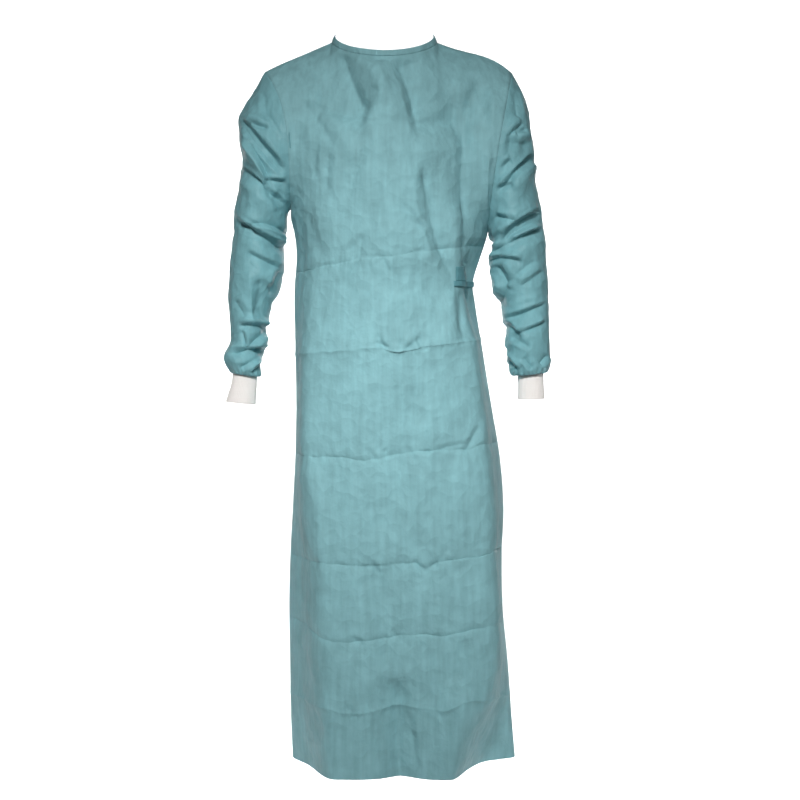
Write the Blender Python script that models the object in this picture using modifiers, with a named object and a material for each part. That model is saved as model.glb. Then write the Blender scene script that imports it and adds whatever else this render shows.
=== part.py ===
"""Surgical gown as it hangs when worn: hollow cloth walls, with nobody inside.

Metres, +Z up. The origin is where the shoulders carry the gown, level with the base of
the neck. The front faces -Y. Left and right are the wearer's: the right sleeve is at -X.

The body is one closed tube of cloth from the hem to the armpits, and a front and a back
yoke above them. Every panel is cut from that one surface, so neighbours meet edge to edge.
A place on the surface is (half, across, level): half is FRONT or BACK, across runs from
the right side seam (0) to the left one (1), and level counts the rings upwards from the
hem, with the shoulders at the top.
"""
import math
from collections import namedtuple

import bmesh
import bpy
from mathutils import Vector

GOWN = "surgical_gown"

# ------------------------------------------------------------------ driving sizes (m)
CLOTH = 0.0012              # thickness of the nonwoven's wall
KNIT = 0.0015               # thickness of the knitted cuff's wall, without its ribs
SEAM = 0.0003               # gap between pieces that are sewn or bonded together
LAP = 0.0040                # how far the outer back panel stands off the inner one

FRONT = -1.0
BACK = 1.0
RIGHT = -1.0
LEFT = 1.0

# Rings of the body: the hem, the six packing folds and the armpits. A ring's height is
# measured at x = 0, and its tilt is its rise towards the left. Fold is how far the packing
# fold at that ring stands out (+) or in (-), and steps are the rows up to the next ring.
Ring = namedtuple("Ring", "height tilt fold steps")
RINGS = (
    Ring(-1.331, 0.000, 0.0000, 3),
    Ring(-1.207, 0.000, 0.0020, 3),
    Ring(-1.076, 0.000, -0.0018, 3),
    Ring(-0.943, 0.022, -0.0020, 4),
    Ring(-0.7535, 0.060, -0.0018, 4),
    Ring(-0.557, 0.090, 0.0018, 4),
    Ring(-0.398, 0.120, -0.0020, 2),
    Ring(-0.324, -0.116, 0.0000, 0),
)
FOLD_REACH = 0.045          # height over which a packing fold fades out
ARMPIT_LEVEL = float(len(RINGS) - 1)
TOP_LEVEL = ARMPIT_LEVEL + 1.0

# Horizontal sections of the body. The corners are where the flat front turns into the side.
# Setback is how far the corners lie behind the middle of the front, and of the back. Tuck is
# how far the cloth between corner and side seam is drawn in.
Section = namedtuple("Section", "height side_right side_left corner_right corner_left "
                                "front back setback tuck_right tuck_left")
SECTIONS = (
    Section(-1.331, -0.1735, 0.2440, -0.0880, 0.1120, -0.156, 0.160, 0.006, 0.012, 0.036),
    Section(-1.250, -0.1765, 0.2370, -0.0960, 0.1480, -0.157, 0.159, 0.008, 0.010, 0.018),
    Section(-1.150, -0.1775, 0.2295, -0.1040, 0.1830, -0.156, 0.157, 0.010, 0.008, 0.002),
    Section(-1.039, -0.1785, 0.2190, -0.1070, 0.1880, -0.152, 0.154, 0.013, 0.008, 0.000),
    Section(-0.943, -0.1760, 0.2175, -0.1110, 0.1830, -0.149, 0.151, 0.016, 0.006, 0.000),
    Section(-0.860, -0.1715, 0.2205, -0.1250, 0.1800, -0.147, 0.149, 0.019, 0.003, 0.000),
    Section(-0.765, -0.1665, 0.2135, -0.1330, 0.1720, -0.144, 0.146, 0.022, 0.000, 0.000),
    Section(-0.670, -0.1645, 0.1975, -0.1330, 0.1610, -0.141, 0.142, 0.027, 0.000, 0.000),
    Section(-0.557, -0.1655, 0.1790, -0.1280, 0.1470, -0.137, 0.136, 0.034, 0.000, 0.000),
    Section(-0.476, -0.1675, 0.1662, -0.1220, 0.1330, -0.131, 0.127, 0.039, 0.000, 0.004),
    Section(-0.441, -0.1665, 0.1625, -0.1200, 0.1290, -0.127, 0.122, 0.040, 0.000, 0.006),
    Section(-0.395, -0.1630, 0.1760, -0.1170, 0.1280, -0.131, 0.124, 0.040, 0.000, 0.003),
    Section(-0.355, -0.1660, 0.1885, -0.1160, 0.1290, -0.130, 0.126, 0.038, 0.000, 0.000),
    Section(-0.324, -0.1735, 0.1900, -0.1160, 0.1300, -0.128, 0.127, 0.036, 0.000, 0.000),
)
SIDE_DEPTH = 0.006          # y of the side seams
BACK_CORNER = 0.66          # back corner's place between the middle and the side
FLANK_OUT = 0.78            # place of the flank between corner (0) and side seam (1)
FLANK_BACK = 0.42           # and between the side seam (0) and the corner (1), in depth
FLANK_TUCK = 0.6            # how much of the tuck also draws the flank back

# Neck, shoulders and armholes.
NECK_CENTRE = -0.0005        # x of the neck opening's middle
NECK_HALF_WIDTH = 0.0960
NECK_FRONT = 0.072          # how far the neckline comes forward, and goes back
NECK_BACK = 0.080
NECK_FRONT_DROP = 0.0345    # how far the neckline drops below its sides, front and back
NECK_BACK_DROP = 0.0130
NECK_ROUNDNESS = 1.2
SHOULDER_RIGHT = (-0.2209, 0.0, -0.0543)
SHOULDER_LEFT = (0.2340, 0.0, -0.0560)
SHOULDER_HUMP_RIGHT = 0.0015
SHOULDER_HUMP_LEFT = 0.0100
ARMHOLE_DEPTH = 0.072       # how far an armhole's edge reaches forward and back
ARMHOLE_STRAIGHTNESS = 0.3  # 0 where its height follows a circle, 1 where it climbs evenly
ARMHOLE_FLARE_RIGHT = 4.0   # how late the armhole's edge swings out to the shoulder
ARMHOLE_FLARE_LEFT = 1.4
NECK_START = 0.32           # across values where the neckline starts and ends
NECK_END = 0.68
YOKE_ROWS = 12              # rows between armpits and shoulders
YOKE_CROWDING = 1.2         # how much closer the rows lie near the shoulders
ARMHOLE_SPREAD = 0.45       # across distance over which an armhole's shape fades out
YOKE_POWER = 2.6            # roundness of the yoke over the shoulder, and at the neck
YOKE_FLARE = 2.0            # how late the yoke widens towards the shoulders
YOKE_ROUND_SHOULDER = 1.7
YOKE_ROUND_NECK = 1.0

# Columns of each panel, as across values: (start, end, cells).
FRONT_SPANS = ((0.0, NECK_START, 8), (NECK_START, NECK_END, 10), (NECK_END, 1.0, 8))
OVER_SPANS = ((0.0, NECK_START, 6), (NECK_START, 0.64, 8))
UNDER_SPANS = ((0.40, NECK_END, 7), (NECK_END, 1.0, 6))
LAP_RISE = (0.30, 0.39)     # across values over which the outer back panel lifts off
NORMAL_STEP = 0.004         # step along the surface when its direction is worked out

# Large folds of the cloth, in the plane of the front view: a line from (x1, z1) to (x2, z2),
# bowed sideways in its middle, with a trough of this width and depth (a ridge if depth is
# negative) and beside it a lip of the opposite sense.
Fold = namedtuple("Fold", "x1 z1 x2 z2 bow width depth lip")
LIP_DISTANCE = 1.7          # in widths
FOLD_ENDS = 0.25            # part of its length over which a fold fades out at each end
SEAM_CALM = 0.08            # across distance from a side seam over which folds fade in
FRONT_FOLDS = (
    Fold(-0.150, -0.110, -0.086, -0.200, 0.000, 0.018, 0.0040, 0.5),
    Fold(-0.076, -0.020, -0.024, -0.128, -0.004, 0.018, 0.0040, 0.6),
    Fold(0.018, -0.036, 0.058, -0.146, 0.004, 0.020, 0.0035, -0.6),
    Fold(0.160, -0.060, 0.192, -0.222, 0.006, 0.016, 0.0045, -0.4),
    Fold(0.153, -0.128, 0.148, -0.318, -0.012, 0.018, 0.0060, 0.5),
    Fold(0.069, -0.236, 0.129, -0.446, -0.014, 0.020, 0.0050, -0.7),
    Fold(0.147, -0.290, 0.150, -0.436, 0.000, 0.014, 0.0050, -0.6),
    Fold(0.141, -0.446, 0.143, -0.560, 0.000, 0.015, 0.0050, -0.5),
    Fold(-0.150, -0.305, -0.110, -0.400, 0.000, 0.020, 0.0040, 0.5),
    Fold(-0.140, -0.740, -0.104, -1.010, 0.006, 0.022, -0.0050, 0.0),
    Fold(-0.106, -0.990, -0.088, -1.400, 0.000, 0.020, -0.0050, 0.0),
    Fold(0.112, -1.400, 0.150, -1.160, 0.006, 0.020, -0.0060, 0.0),
    Fold(0.030, -1.420, 0.022, -1.205, 0.000, 0.028, 0.0230, 0.0),
    Fold(0.123, -1.160, 0.145, -1.070, 0.000, 0.018, 0.0040, -0.5),
)
BACK_FOLDS = (
    Fold(-0.100, -0.060, -0.150, -0.250, 0.006, 0.020, 0.0045, 0.5),
    Fold(0.110, -0.060, 0.160, -0.270, -0.006, 0.020, 0.0045, -0.5),
    Fold(0.112, -0.290, 0.140, -0.430, 0.000, 0.018, 0.0045, 0.5),
    Fold(0.060, -0.340, 0.090, -0.620, 0.004, 0.022, 0.0045, 0.5),
    Fold(-0.110, -0.420, -0.135, -0.900, 0.008, 0.024, -0.0040, 0.0),
    Fold(-0.050, -1.400, -0.030, -1.080, 0.000, 0.026, 0.0090, 0.5),
    Fold(0.130, -1.400, 0.160, -0.900, 0.000, 0.026, 0.0080, 0.5),
)

# Sleeves: rings from the armhole to the cuff seam, each from its point at the outer side
# of the arm to the one at the inner side. The last ring is drawn in onto the cuff.
TubeRing = namedtuple("TubeRing", "outer_x outer_z inner_x inner_z half_depth middle_y")
SLEEVE_RIGHT_RINGS = (
    TubeRing(-0.2209, -0.0543, -0.1735, -0.3039, 0.072, 0.003),
    TubeRing(-0.2460, -0.0960, -0.1780, -0.3100, 0.074, 0.004),
    TubeRing(-0.2690, -0.1340, -0.1810, -0.3190, 0.074, 0.004),
    TubeRing(-0.2705, -0.1720, -0.1820, -0.3310, 0.073, 0.004),
    TubeRing(-0.2640, -0.2120, -0.1830, -0.3450, 0.071, 0.005),
    TubeRing(-0.2680, -0.2620, -0.1880, -0.3630, 0.069, 0.006),
    TubeRing(-0.2795, -0.3100, -0.1870, -0.3880, 0.067, 0.007),
    TubeRing(-0.2830, -0.3650, -0.1880, -0.4190, 0.064, 0.007),
    TubeRing(-0.2880, -0.4200, -0.1940, -0.4510, 0.061, 0.006),
    TubeRing(-0.2910, -0.4700, -0.2090, -0.4810, 0.057, 0.002),
    TubeRing(-0.2875, -0.5150, -0.2165, -0.5190, 0.052, -0.004),
    TubeRing(-0.2855, -0.5500, -0.2190, -0.5530, 0.047, -0.010),
    TubeRing(-0.2985, -0.5770, -0.2280, -0.5810, 0.043, -0.015),
    TubeRing(-0.2870, -0.6020, -0.2290, -0.6100, 0.033, -0.019),
    TubeRing(-0.2823, -0.6065, -0.2355, -0.6135, 0.0248, -0.020),
)
SLEEVE_LEFT_RINGS = (
    TubeRing(0.2340, -0.0560, 0.1900, -0.3460, 0.072, 0.003),
    TubeRing(0.2515, -0.0880, 0.1955, -0.3525, 0.074, 0.004),
    TubeRing(0.2635, -0.1200, 0.1985, -0.3600, 0.074, 0.004),
    TubeRing(0.2695, -0.1580, 0.2000, -0.3690, 0.073, 0.004),
    TubeRing(0.2765, -0.2000, 0.1970, -0.3790, 0.071, 0.005),
    TubeRing(0.2775, -0.2500, 0.1925, -0.3920, 0.069, 0.006),
    TubeRing(0.2895, -0.3000, 0.1935, -0.4070, 0.067, 0.007),
    TubeRing(0.2960, -0.3500, 0.1965, -0.4300, 0.065, 0.007),
    TubeRing(0.3000, -0.4050, 0.2010, -0.4570, 0.062, 0.006),
    TubeRing(0.3025, -0.4550, 0.2145, -0.4840, 0.058, 0.002),
    TubeRing(0.3040, -0.5000, 0.2190, -0.5080, 0.054, -0.004),
    TubeRing(0.3040, -0.5430, 0.2225, -0.5450, 0.049, -0.010),
    TubeRing(0.3060, -0.5860, 0.2265, -0.5850, 0.043, -0.016),
    TubeRing(0.3010, -0.6035, 0.2320, -0.6090, 0.036, -0.019),
    TubeRing(0.2940, -0.6065, 0.2450, -0.6120, 0.0248, -0.020),
)
SLEEVE_STEPS = 2            # rows of mesh for each ring of the table
ARMHOLE_GAP = 0.0016        # how far a sleeve's edge starts outside the body's edge
ARMHOLE_GAP_SWING = 0.0010  # more underarm, where the two walls fold back, less on top
ARMHOLE_BLEND = 3.0         # rings over which the armhole's outline fades into an oval

SLEEVE_RIGHT_FOLDS = (
    Fold(-0.272, -0.142, -0.182, -0.232, 0.000, 0.015, 0.0080, 0.6),
    Fold(-0.266, -0.228, -0.182, -0.298, 0.000, 0.014, 0.0065, -0.5),
    Fold(-0.280, -0.326, -0.182, -0.388, 0.000, 0.015, 0.0085, 0.5),
    Fold(-0.256, -0.388, -0.194, -0.412, 0.000, 0.014, 0.0045, 0.5),
    Fold(-0.244, -0.512, -0.200, -0.440, 0.004, 0.017, 0.0055, -0.4),
    Fold(-0.284, -0.567, -0.222, -0.570, 0.000, 0.012, 0.0060, -0.5),
)
SLEEVE_LEFT_FOLDS = (
    Fold(0.212, -0.188, 0.266, -0.194, 0.000, 0.014, 0.0060, 0.5),
    Fold(0.220, -0.262, 0.276, -0.206, 0.003, 0.014, 0.0075, -0.5),
    Fold(0.206, -0.382, 0.292, -0.310, 0.008, 0.015, 0.0085, 0.6),
    Fold(0.196, -0.404, 0.294, -0.340, 0.006, 0.013, 0.0060, -0.4),
    Fold(0.198, -0.414, 0.226, -0.446, 0.000, 0.014, 0.0045, 0.4),
    Fold(0.226, -0.506, 0.296, -0.480, 0.000, 0.014, 0.0045, 0.5),
    Fold(0.228, -0.510, 0.236, -0.556, 0.000, 0.014, 0.0040, 0.4),
)
FOLD_WRAP = 0.35            # how far a sleeve's front folds run on round its edges
ARMHOLE_CALM = (0.6, 1.8)   # rings over which a sleeve's folds fade in below the armhole
CUFF_CALM = (0.8, 1.6)      # and rings above its end over which they fade out

# Cuffs: the same columns as the sleeves, from inside the sleeve down to the free edge.
CUFF_RIGHT_RINGS = (
    TubeRing(-0.2805, -0.5960, -0.2375, -0.6030, 0.0232, -0.020),
    TubeRing(-0.2812, -0.6110, -0.2368, -0.6180, 0.0236, -0.020),
    TubeRing(-0.2835, -0.6270, -0.2370, -0.6330, 0.0245, -0.020),
    TubeRing(-0.2895, -0.6460, -0.2388, -0.6490, 0.0258, -0.021),
    TubeRing(-0.2938, -0.6605, -0.2386, -0.6650, 0.0262, -0.022),
)
CUFF_LEFT_RINGS = (
    TubeRing(0.2925, -0.5975, 0.2465, -0.6020, 0.0232, -0.020),
    TubeRing(0.2930, -0.6110, 0.2460, -0.6140, 0.0236, -0.020),
    TubeRing(0.2932, -0.6270, 0.2465, -0.6280, 0.0245, -0.020),
    TubeRing(0.2942, -0.6420, 0.2465, -0.6430, 0.0255, -0.021),
    TubeRing(0.2948, -0.6550, 0.2458, -0.6560, 0.0258, -0.022),
)
CUFF_RIBS = 26
RIB_HEIGHT = 0.0006

BINDING_LIFT = 0.0016       # the binding starts this far above the panels' edges
BINDING_HEIGHT = 0.0092
BINDING_PEAK = 0.0040       # extra height where the shoulder seams meet the neck
BINDING_PEAK_REACH = 0.12   # how far the peak spreads, as a part of the neckline
BINDING_LEAN = 0.0010       # how far its upper edge leans in towards the neck
BINDING_PEAK_LEAN = 0.0060  # and how much more it does at the peaks
BINDING_ROWS = 2

TIE_WIDTH = 0.010
TIE_HEIGHT = -0.4440        # z of its middle line at the front
TIE_END = 0.70              # across value of its end on the front
TIE_LIFT = CLOTH + 0.0007
TIE_DROP = 3.0              # columns over which it comes down from the outer panel's lap
TIE_ROWS = 2
TIE_START = 0.646           # across value where it leaves the outer back panel's edge
TAB_START = 0.72            # across values of the patch's sides
TAB_END = 0.80
TAB_HEIGHT = 0.024
TAB_LIFT = CLOTH + 0.0008
TAB_CELLS = 4
TAB_ROWS = 3

# Colours (linear RGB), roughness and metallic of the materials.
CLOTH_GREEN = (0.205, 0.417, 0.451)
TIE_GREEN = (0.155, 0.345, 0.375)
KNIT_WHITE = (0.84, 0.82, 0.85)
CLOTH_ROUGHNESS = 0.62
KNIT_ROUGHNESS = 0.90


# ------------------------------------------------------------------ small helpers
def lerp(start, end, part):
    """The value a part of the way from start to end."""
    return start + (end - start) * part


def smooth(part):
    """Ease from 0 to 1 as part goes from 0 to 1."""
    part = min(max(part, 0.0), 1.0)
    return part * part * (3.0 - 2.0 * part)


def ramp(value, ends):
    """Ease from 0 to 1 as value goes from one end to the other."""
    return smooth((value - ends[0]) / (ends[1] - ends[0]))


def spline(knots, values, at, end_slopes=None):
    """A smooth curve through values at rising knots."""
    last = len(knots) - 1
    at = min(max(at, knots[0]), knots[last])
    i = 0
    while i < last - 1 and at > knots[i + 1]:
        i += 1
    slopes = []
    for k in (i, i + 1):
        if end_slopes and k in (0, last):
            slopes.append(end_slopes[0] if k == 0 else end_slopes[1])
            continue
        before, after = max(k - 1, 0), min(k + 1, last)
        slopes.append((values[after] - values[before]) / (knots[after] - knots[before]))
    step = knots[i + 1] - knots[i]
    t = (at - knots[i]) / step
    return ((2 * t ** 3 - 3 * t ** 2 + 1) * values[i] + (t ** 3 - 2 * t ** 2 + t) * step * slopes[0]
            + (3 * t ** 2 - 2 * t ** 3) * values[i + 1] + (t ** 3 - t ** 2) * step * slopes[1])


def fold_offset(folds, x, z):
    """How far the folds move the cloth outwards at a place in the front view."""
    total = 0.0
    for fold in folds:
        length = math.hypot(fold.x2 - fold.x1, fold.z2 - fold.z1)
        along_x, along_z = (fold.x2 - fold.x1) / length, (fold.z2 - fold.z1) / length
        along = ((x - fold.x1) * along_x + (z - fold.z1) * along_z) / length
        if not 0.0 < along < 1.0:
            continue
        bowed = fold.bow * 4.0 * along * (1.0 - along)
        beside = (z - fold.z1) * along_x - (x - fold.x1) * along_z - bowed
        fade = smooth(along / FOLD_ENDS) * smooth((1.0 - along) / FOLD_ENDS)
        lip_beside = beside - math.copysign(LIP_DISTANCE * fold.width, fold.lip)
        trough = math.exp(-(beside / fold.width) ** 2)
        ridge = abs(fold.lip) * math.exp(-(lip_beside / fold.width) ** 2)
        total += fold.depth * fade * (ridge - trough)
    return total


def spread(spans):
    """Across values of a panel's columns from its (start, end, cells) spans."""
    values = [spans[0][0]]
    for start, end, cells in spans:
        values += [lerp(start, end, (i + 1) / cells) for i in range(cells)]
    return values


# ------------------------------------------------------------------ the body's surface
SECTION_VALUES = Section(*zip(*SECTIONS))
ACROSS_KNOTS = (0.0, 0.15, NECK_START, 0.5, NECK_END, 0.85, 1.0)


def section(half, across, height):
    """x and y of the body's horizontal section at a height."""
    size = Section(*(spline(SECTION_VALUES.height, values, height) for values in SECTION_VALUES))
    right, left = size.side_right, size.side_left
    middle = (right + left) / 2.0
    if half == FRONT:
        corner_right, corner_left = size.corner_right, size.corner_left
        depth, corner_y = size.front, size.front + size.setback
        tuck_right, tuck_left = size.tuck_right, size.tuck_left
    else:
        corner_right = lerp(middle, right, BACK_CORNER)
        corner_left = lerp(middle, left, BACK_CORNER)
        depth, corner_y = size.back, size.back - size.setback
        tuck_right = tuck_left = 0.0
    flank_y = lerp(SIDE_DEPTH, corner_y, FLANK_BACK)
    xs = (right, lerp(corner_right, right, FLANK_OUT) + tuck_right, corner_right, middle,
          corner_left, lerp(corner_left, left, FLANK_OUT) - tuck_left, left)
    ys = (SIDE_DEPTH, flank_y - half * tuck_right * FLANK_TUCK, corner_y, depth,
          corner_y, flank_y - half * tuck_left * FLANK_TUCK, SIDE_DEPTH)
    rise = (flank_y - SIDE_DEPTH) / ACROSS_KNOTS[1]
    return (spline(ACROSS_KNOTS, xs, across, (0.0, 0.0)),
            spline(ACROSS_KNOTS, ys, across, (rise, -rise)))


def ring_point(half, across, level):
    """A point of the tube below the armpits."""
    lower = min(int(level), len(RINGS) - 2)
    part = level - lower
    height = lerp(RINGS[lower].height, RINGS[lower + 1].height, part)
    tilt = lerp(RINGS[lower].tilt, RINGS[lower + 1].tilt, smooth(part))
    x, y = section(half, across, height)
    x, y = section(half, across, height + tilt * x)
    return Vector((x, y, height + tilt * x))


def armhole_point(side, half, up):
    """A point of an armhole's edge, from the armpit (up = 0) to the shoulder (up = 1)."""
    across, shoulder, flare = ((0.0, SHOULDER_RIGHT, ARMHOLE_FLARE_RIGHT) if side == RIGHT
                               else (1.0, SHOULDER_LEFT, ARMHOLE_FLARE_LEFT))
    armpit = ring_point(half, across, ARMPIT_LEVEL)
    rise = lerp((1.0 - math.cos(math.pi * up)) / 2.0, up, ARMHOLE_STRAIGHTNESS)
    return Vector((lerp(armpit.x, shoulder[0], rise ** flare),
                   lerp(armpit.y, shoulder[1], rise) + half * ARMHOLE_DEPTH * math.sin(math.pi * up),
                   lerp(armpit.z, shoulder[2], rise)))


def neckline_point(half, part):
    """A point of the neckline, from its right end (0) to its left end (1)."""
    turn = math.pi * part
    reach, drop = (NECK_FRONT, NECK_FRONT_DROP) if half == FRONT else (NECK_BACK, NECK_BACK_DROP)
    bulge = max(math.sin(turn), 0.0)
    return Vector((NECK_CENTRE - NECK_HALF_WIDTH * math.cos(turn), half * reach * bulge,
                   -drop * bulge ** NECK_ROUNDNESS))


def top_point(half, across):
    """A point of the panels' upper edge: shoulder seam, neckline, shoulder seam."""
    if NECK_START <= across <= NECK_END:
        return neckline_point(half, (across - NECK_START) / (NECK_END - NECK_START))
    if across < NECK_START:
        part, end, neck = across / NECK_START, SHOULDER_RIGHT, neckline_point(half, 0.0)
        hump = SHOULDER_HUMP_RIGHT
    else:
        part, end, neck = (1.0 - across) / (1.0 - NECK_END), SHOULDER_LEFT, neckline_point(half, 1.0)
        hump = SHOULDER_HUMP_LEFT
    point = Vector(end).lerp(neck, part)
    point.z += hump * math.sin(math.pi * (1.0 - part) ** 2)
    return point


def yoke_point(half, across, up):
    """A point of the yoke, which rounds over the shoulder and meets the armholes' edges."""
    near_neck = math.sin(math.pi * across) ** 2
    roundness = lerp(YOKE_ROUND_SHOULDER, YOKE_ROUND_NECK, near_neck)
    rises = (up ** YOKE_FLARE, 1.0 - (1.0 - up ** YOKE_POWER) ** (1.0 / roundness), up)

    def between(place):
        bottom, top = ring_point(half, place, ARMPIT_LEVEL), top_point(half, place)
        return Vector([lerp(bottom[axis], top[axis], rises[axis]) for axis in range(3)])

    point = between(across)
    for side, edge_across, away in ((RIGHT, 0.0, across), (LEFT, 1.0, 1.0 - across)):
        near_edge = max(0.0, 1.0 - away / ARMHOLE_SPREAD) ** 2
        if near_edge > 0.0:
            point += (armhole_point(side, half, up) - between(edge_across)) * near_edge
    return point


def surface_point(half, across, level):
    """A point of the body's smooth surface, without folds."""
    across = min(max(across, 0.0), 1.0)
    if level <= ARMPIT_LEVEL:
        return ring_point(half, across, max(level, 0.0))
    return yoke_point(half, across, min(level - ARMPIT_LEVEL, 1.0))


def surface_normal(half, across, level):
    """The outward direction of the body's surface."""
    step = NORMAL_STEP
    sideways = (surface_point(half, min(across + step, 1.0), level)
                - surface_point(half, max(across - step, 0.0), level))
    up = (surface_point(half, across, min(level + step, TOP_LEVEL))
          - surface_point(half, across, max(level - step, 0.0)))
    return (sideways.cross(up) * -half).normalized()


def packing_fold(level):
    """How far the packing folds move the cloth at a level."""
    nearest = round(level)
    if not 0 < nearest < len(RINGS) - 1:
        return 0.0
    other = nearest + (1 if level >= nearest else -1)
    away = abs(level - nearest) * abs(RINGS[other].height - RINGS[nearest].height)
    return RINGS[nearest].fold * max(0.0, 1.0 - away / FOLD_REACH)


def body_point(half, across, level, lift=0.0):
    """A point of the cloth's inner face, with its folds, lifted outwards where asked."""
    point = surface_point(half, across, level)
    folds = FRONT_FOLDS if half == FRONT else BACK_FOLDS
    inside = smooth(min(across, 1.0 - across) / SEAM_CALM)
    offset = inside * (packing_fold(level) + fold_offset(folds, point.x, point.z))
    point += surface_normal(half, across, level) * (offset + lift)
    point.y += half * SEAM / 2.0
    return point


def panel_point(half, columns, across, level, lift):
    """A point on the flat faces of a panel's mesh, lifted outwards."""
    rows = body_levels()
    row = max(i for i in range(len(rows) - 1) if rows[i] <= level)
    cell = max(i for i in range(len(columns) - 1) if columns[i] <= across)
    up = (level - rows[row]) / (rows[row + 1] - rows[row])
    beside = (across - columns[cell]) / (columns[cell + 1] - columns[cell])
    lower, upper = (body_point(half, columns[cell], rows[i]).lerp(
        body_point(half, columns[cell + 1], rows[i]), beside) for i in (row, row + 1))
    return lower.lerp(upper, up) + surface_normal(half, across, level) * lift


def body_levels():
    """The levels of the body's rows of mesh, hem to shoulders."""
    levels = []
    for i, ring in enumerate(RINGS[:-1]):
        levels += [i + step / ring.steps for step in range(ring.steps)]
    for row in range(YOKE_ROWS + 1):
        levels.append(ARMPIT_LEVEL + yoke_up(row))
    return levels


def yoke_up(row):
    """How far up the yoke a row lies, 0 to 1."""
    return 1.0 - (1.0 - row / YOKE_ROWS) ** YOKE_CROWDING


# ------------------------------------------------------------------ sleeves and cuffs
def table_ring(rows, place):
    """The values of a sleeve's or cuff's table at a place between its rows."""
    knots = list(range(len(rows)))
    return TubeRing(*(spline(knots, values, place) for values in zip(*rows)))


def oval_point(rows, place, turn):
    """A point of a plain oval ring: turn 0 is the inner side, pi the outer, 3/2 pi the back."""
    ring = table_ring(rows, place)
    reach = (1.0 - math.cos(turn)) / 2.0
    return Vector((lerp(ring.inner_x, ring.outer_x, reach),
                   ring.middle_y - ring.half_depth * math.sin(turn),
                   lerp(ring.inner_z, ring.outer_z, reach)))


def sleeve_smooth_point(side, rows, place, turn):
    """A point of a sleeve without folds, starting along the armhole's edge."""
    point = oval_point(rows, place, turn)
    if place >= ARMHOLE_BLEND:
        return point
    half, up = (FRONT, turn / math.pi) if turn <= math.pi else (BACK, 2.0 - turn / math.pi)
    edge = armhole_point(side, half, up)
    edge.x += side * (ARMHOLE_GAP + ARMHOLE_GAP_SWING * math.cos(turn))
    edge.y += half * SEAM / 2.0
    return point + (edge - oval_point(rows, 0.0, turn)) * (1.0 - place / ARMHOLE_BLEND) ** 2


def mirrored(folds):
    """The same folds on the other side of the gown."""
    return tuple(fold._replace(x1=-fold.x1, x2=-fold.x2, bow=-fold.bow, lip=-fold.lip)
                 for fold in folds)


def sleeve_point(side, place, turn):
    """A point of a sleeve's inner face, with its folds."""
    rows, front_folds, back_folds = (
        (SLEEVE_RIGHT_RINGS, SLEEVE_RIGHT_FOLDS, mirrored(SLEEVE_LEFT_FOLDS)) if side == RIGHT
        else (SLEEVE_LEFT_RINGS, SLEEVE_LEFT_FOLDS, mirrored(SLEEVE_RIGHT_FOLDS)))
    point = sleeve_smooth_point(side, rows, place, turn)
    step = NORMAL_STEP * len(rows)
    last = len(rows) - 1
    around = (sleeve_smooth_point(side, rows, place, (turn + step) % (2.0 * math.pi))
              - sleeve_smooth_point(side, rows, place, (turn - step) % (2.0 * math.pi)))
    along = (sleeve_smooth_point(side, rows, min(place + step, last), turn)
             - sleeve_smooth_point(side, rows, max(place - step, 0.0), turn))
    outward = (around.cross(along) * -side).normalized()
    front_part = smooth((math.sin(turn) + FOLD_WRAP) / (2.0 * FOLD_WRAP))
    offset = lerp(fold_offset(back_folds, point.x, point.z),
                  fold_offset(front_folds, point.x, point.z), front_part)
    calm = ramp(place, ARMHOLE_CALM) * ramp(last - place, CUFF_CALM)
    return point + outward * offset * calm


def sleeve_turns():
    """Angles of a sleeve's columns, which meet the rows of the yoke at the armhole."""
    front = [math.pi * yoke_up(row) for row in range(YOKE_ROWS + 1)]
    return front + [2.0 * math.pi - turn for turn in reversed(front[1:-1])]


# ------------------------------------------------------------------ meshes
def new_object(name, mesh, collection, material):
    """Puts a mesh into the gown's collection with its material."""
    mesh.materials.append(material)
    mesh.shade_smooth()
    item = bpy.data.objects.new(name, mesh)
    collection.objects.link(item)
    return item


def grid_mesh(name, grid, closed, faces_flipped):
    """An open surface through rows of points, closed round each row if asked."""
    model = bmesh.new()
    rows = [[model.verts.new(point) for point in row] for row in grid]
    count = len(rows[0])
    for lower, upper in zip(rows, rows[1:]):
        for i in range(count if closed else count - 1):
            corners = [lower[i], lower[(i + 1) % count], upper[(i + 1) % count], upper[i]]
            model.faces.new(reversed(corners) if faces_flipped else corners)
    mesh = bpy.data.meshes.new(name)
    model.to_mesh(mesh)
    model.free()
    return mesh


def cloth_piece(name, grid, collection, material, closed=False, flipped=False, thickness=CLOTH):
    """A sheet of cloth: an open surface, thickened outwards."""
    item = new_object(name, grid_mesh(name, grid, closed, flipped), collection, material)
    wall = item.modifiers.new("wall", "SOLIDIFY")
    wall.thickness = thickness
    wall.offset = 1.0
    wall.use_even_offset = False
    return item


def ribbed_tube(name, inner, outer, collection, material, flipped):
    """A tube with a plain inside and a ribbed outside, closed at both rims."""
    model = bmesh.new()
    skins = [[[model.verts.new(point) for point in row] for row in grid] for grid in (inner, outer)]
    count = len(inner[0])
    strips = list(zip(skins[1], skins[1][1:]))
    strips += [(upper, lower) for lower, upper in zip(skins[0], skins[0][1:])]
    strips += [(skins[0][0], skins[1][0]), (skins[1][-1], skins[0][-1])]
    for lower, upper in strips:
        for i in range(count):
            corners = [lower[i], lower[(i + 1) % count], upper[(i + 1) % count], upper[i]]
            model.faces.new(reversed(corners) if flipped else corners)
    mesh = bpy.data.meshes.new(name)
    model.to_mesh(mesh)
    model.free()
    return new_object(name, mesh, collection, material)


# ------------------------------------------------------------------ the pieces
def make_front_panel(collection, material):
    """The front, from side seam to side seam and up to shoulders and neckline."""
    grid = [[body_point(FRONT, across, level) for across in spread(FRONT_SPANS)]
            for level in body_levels()]
    cloth_piece("front_panel", grid, collection, material)


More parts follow.
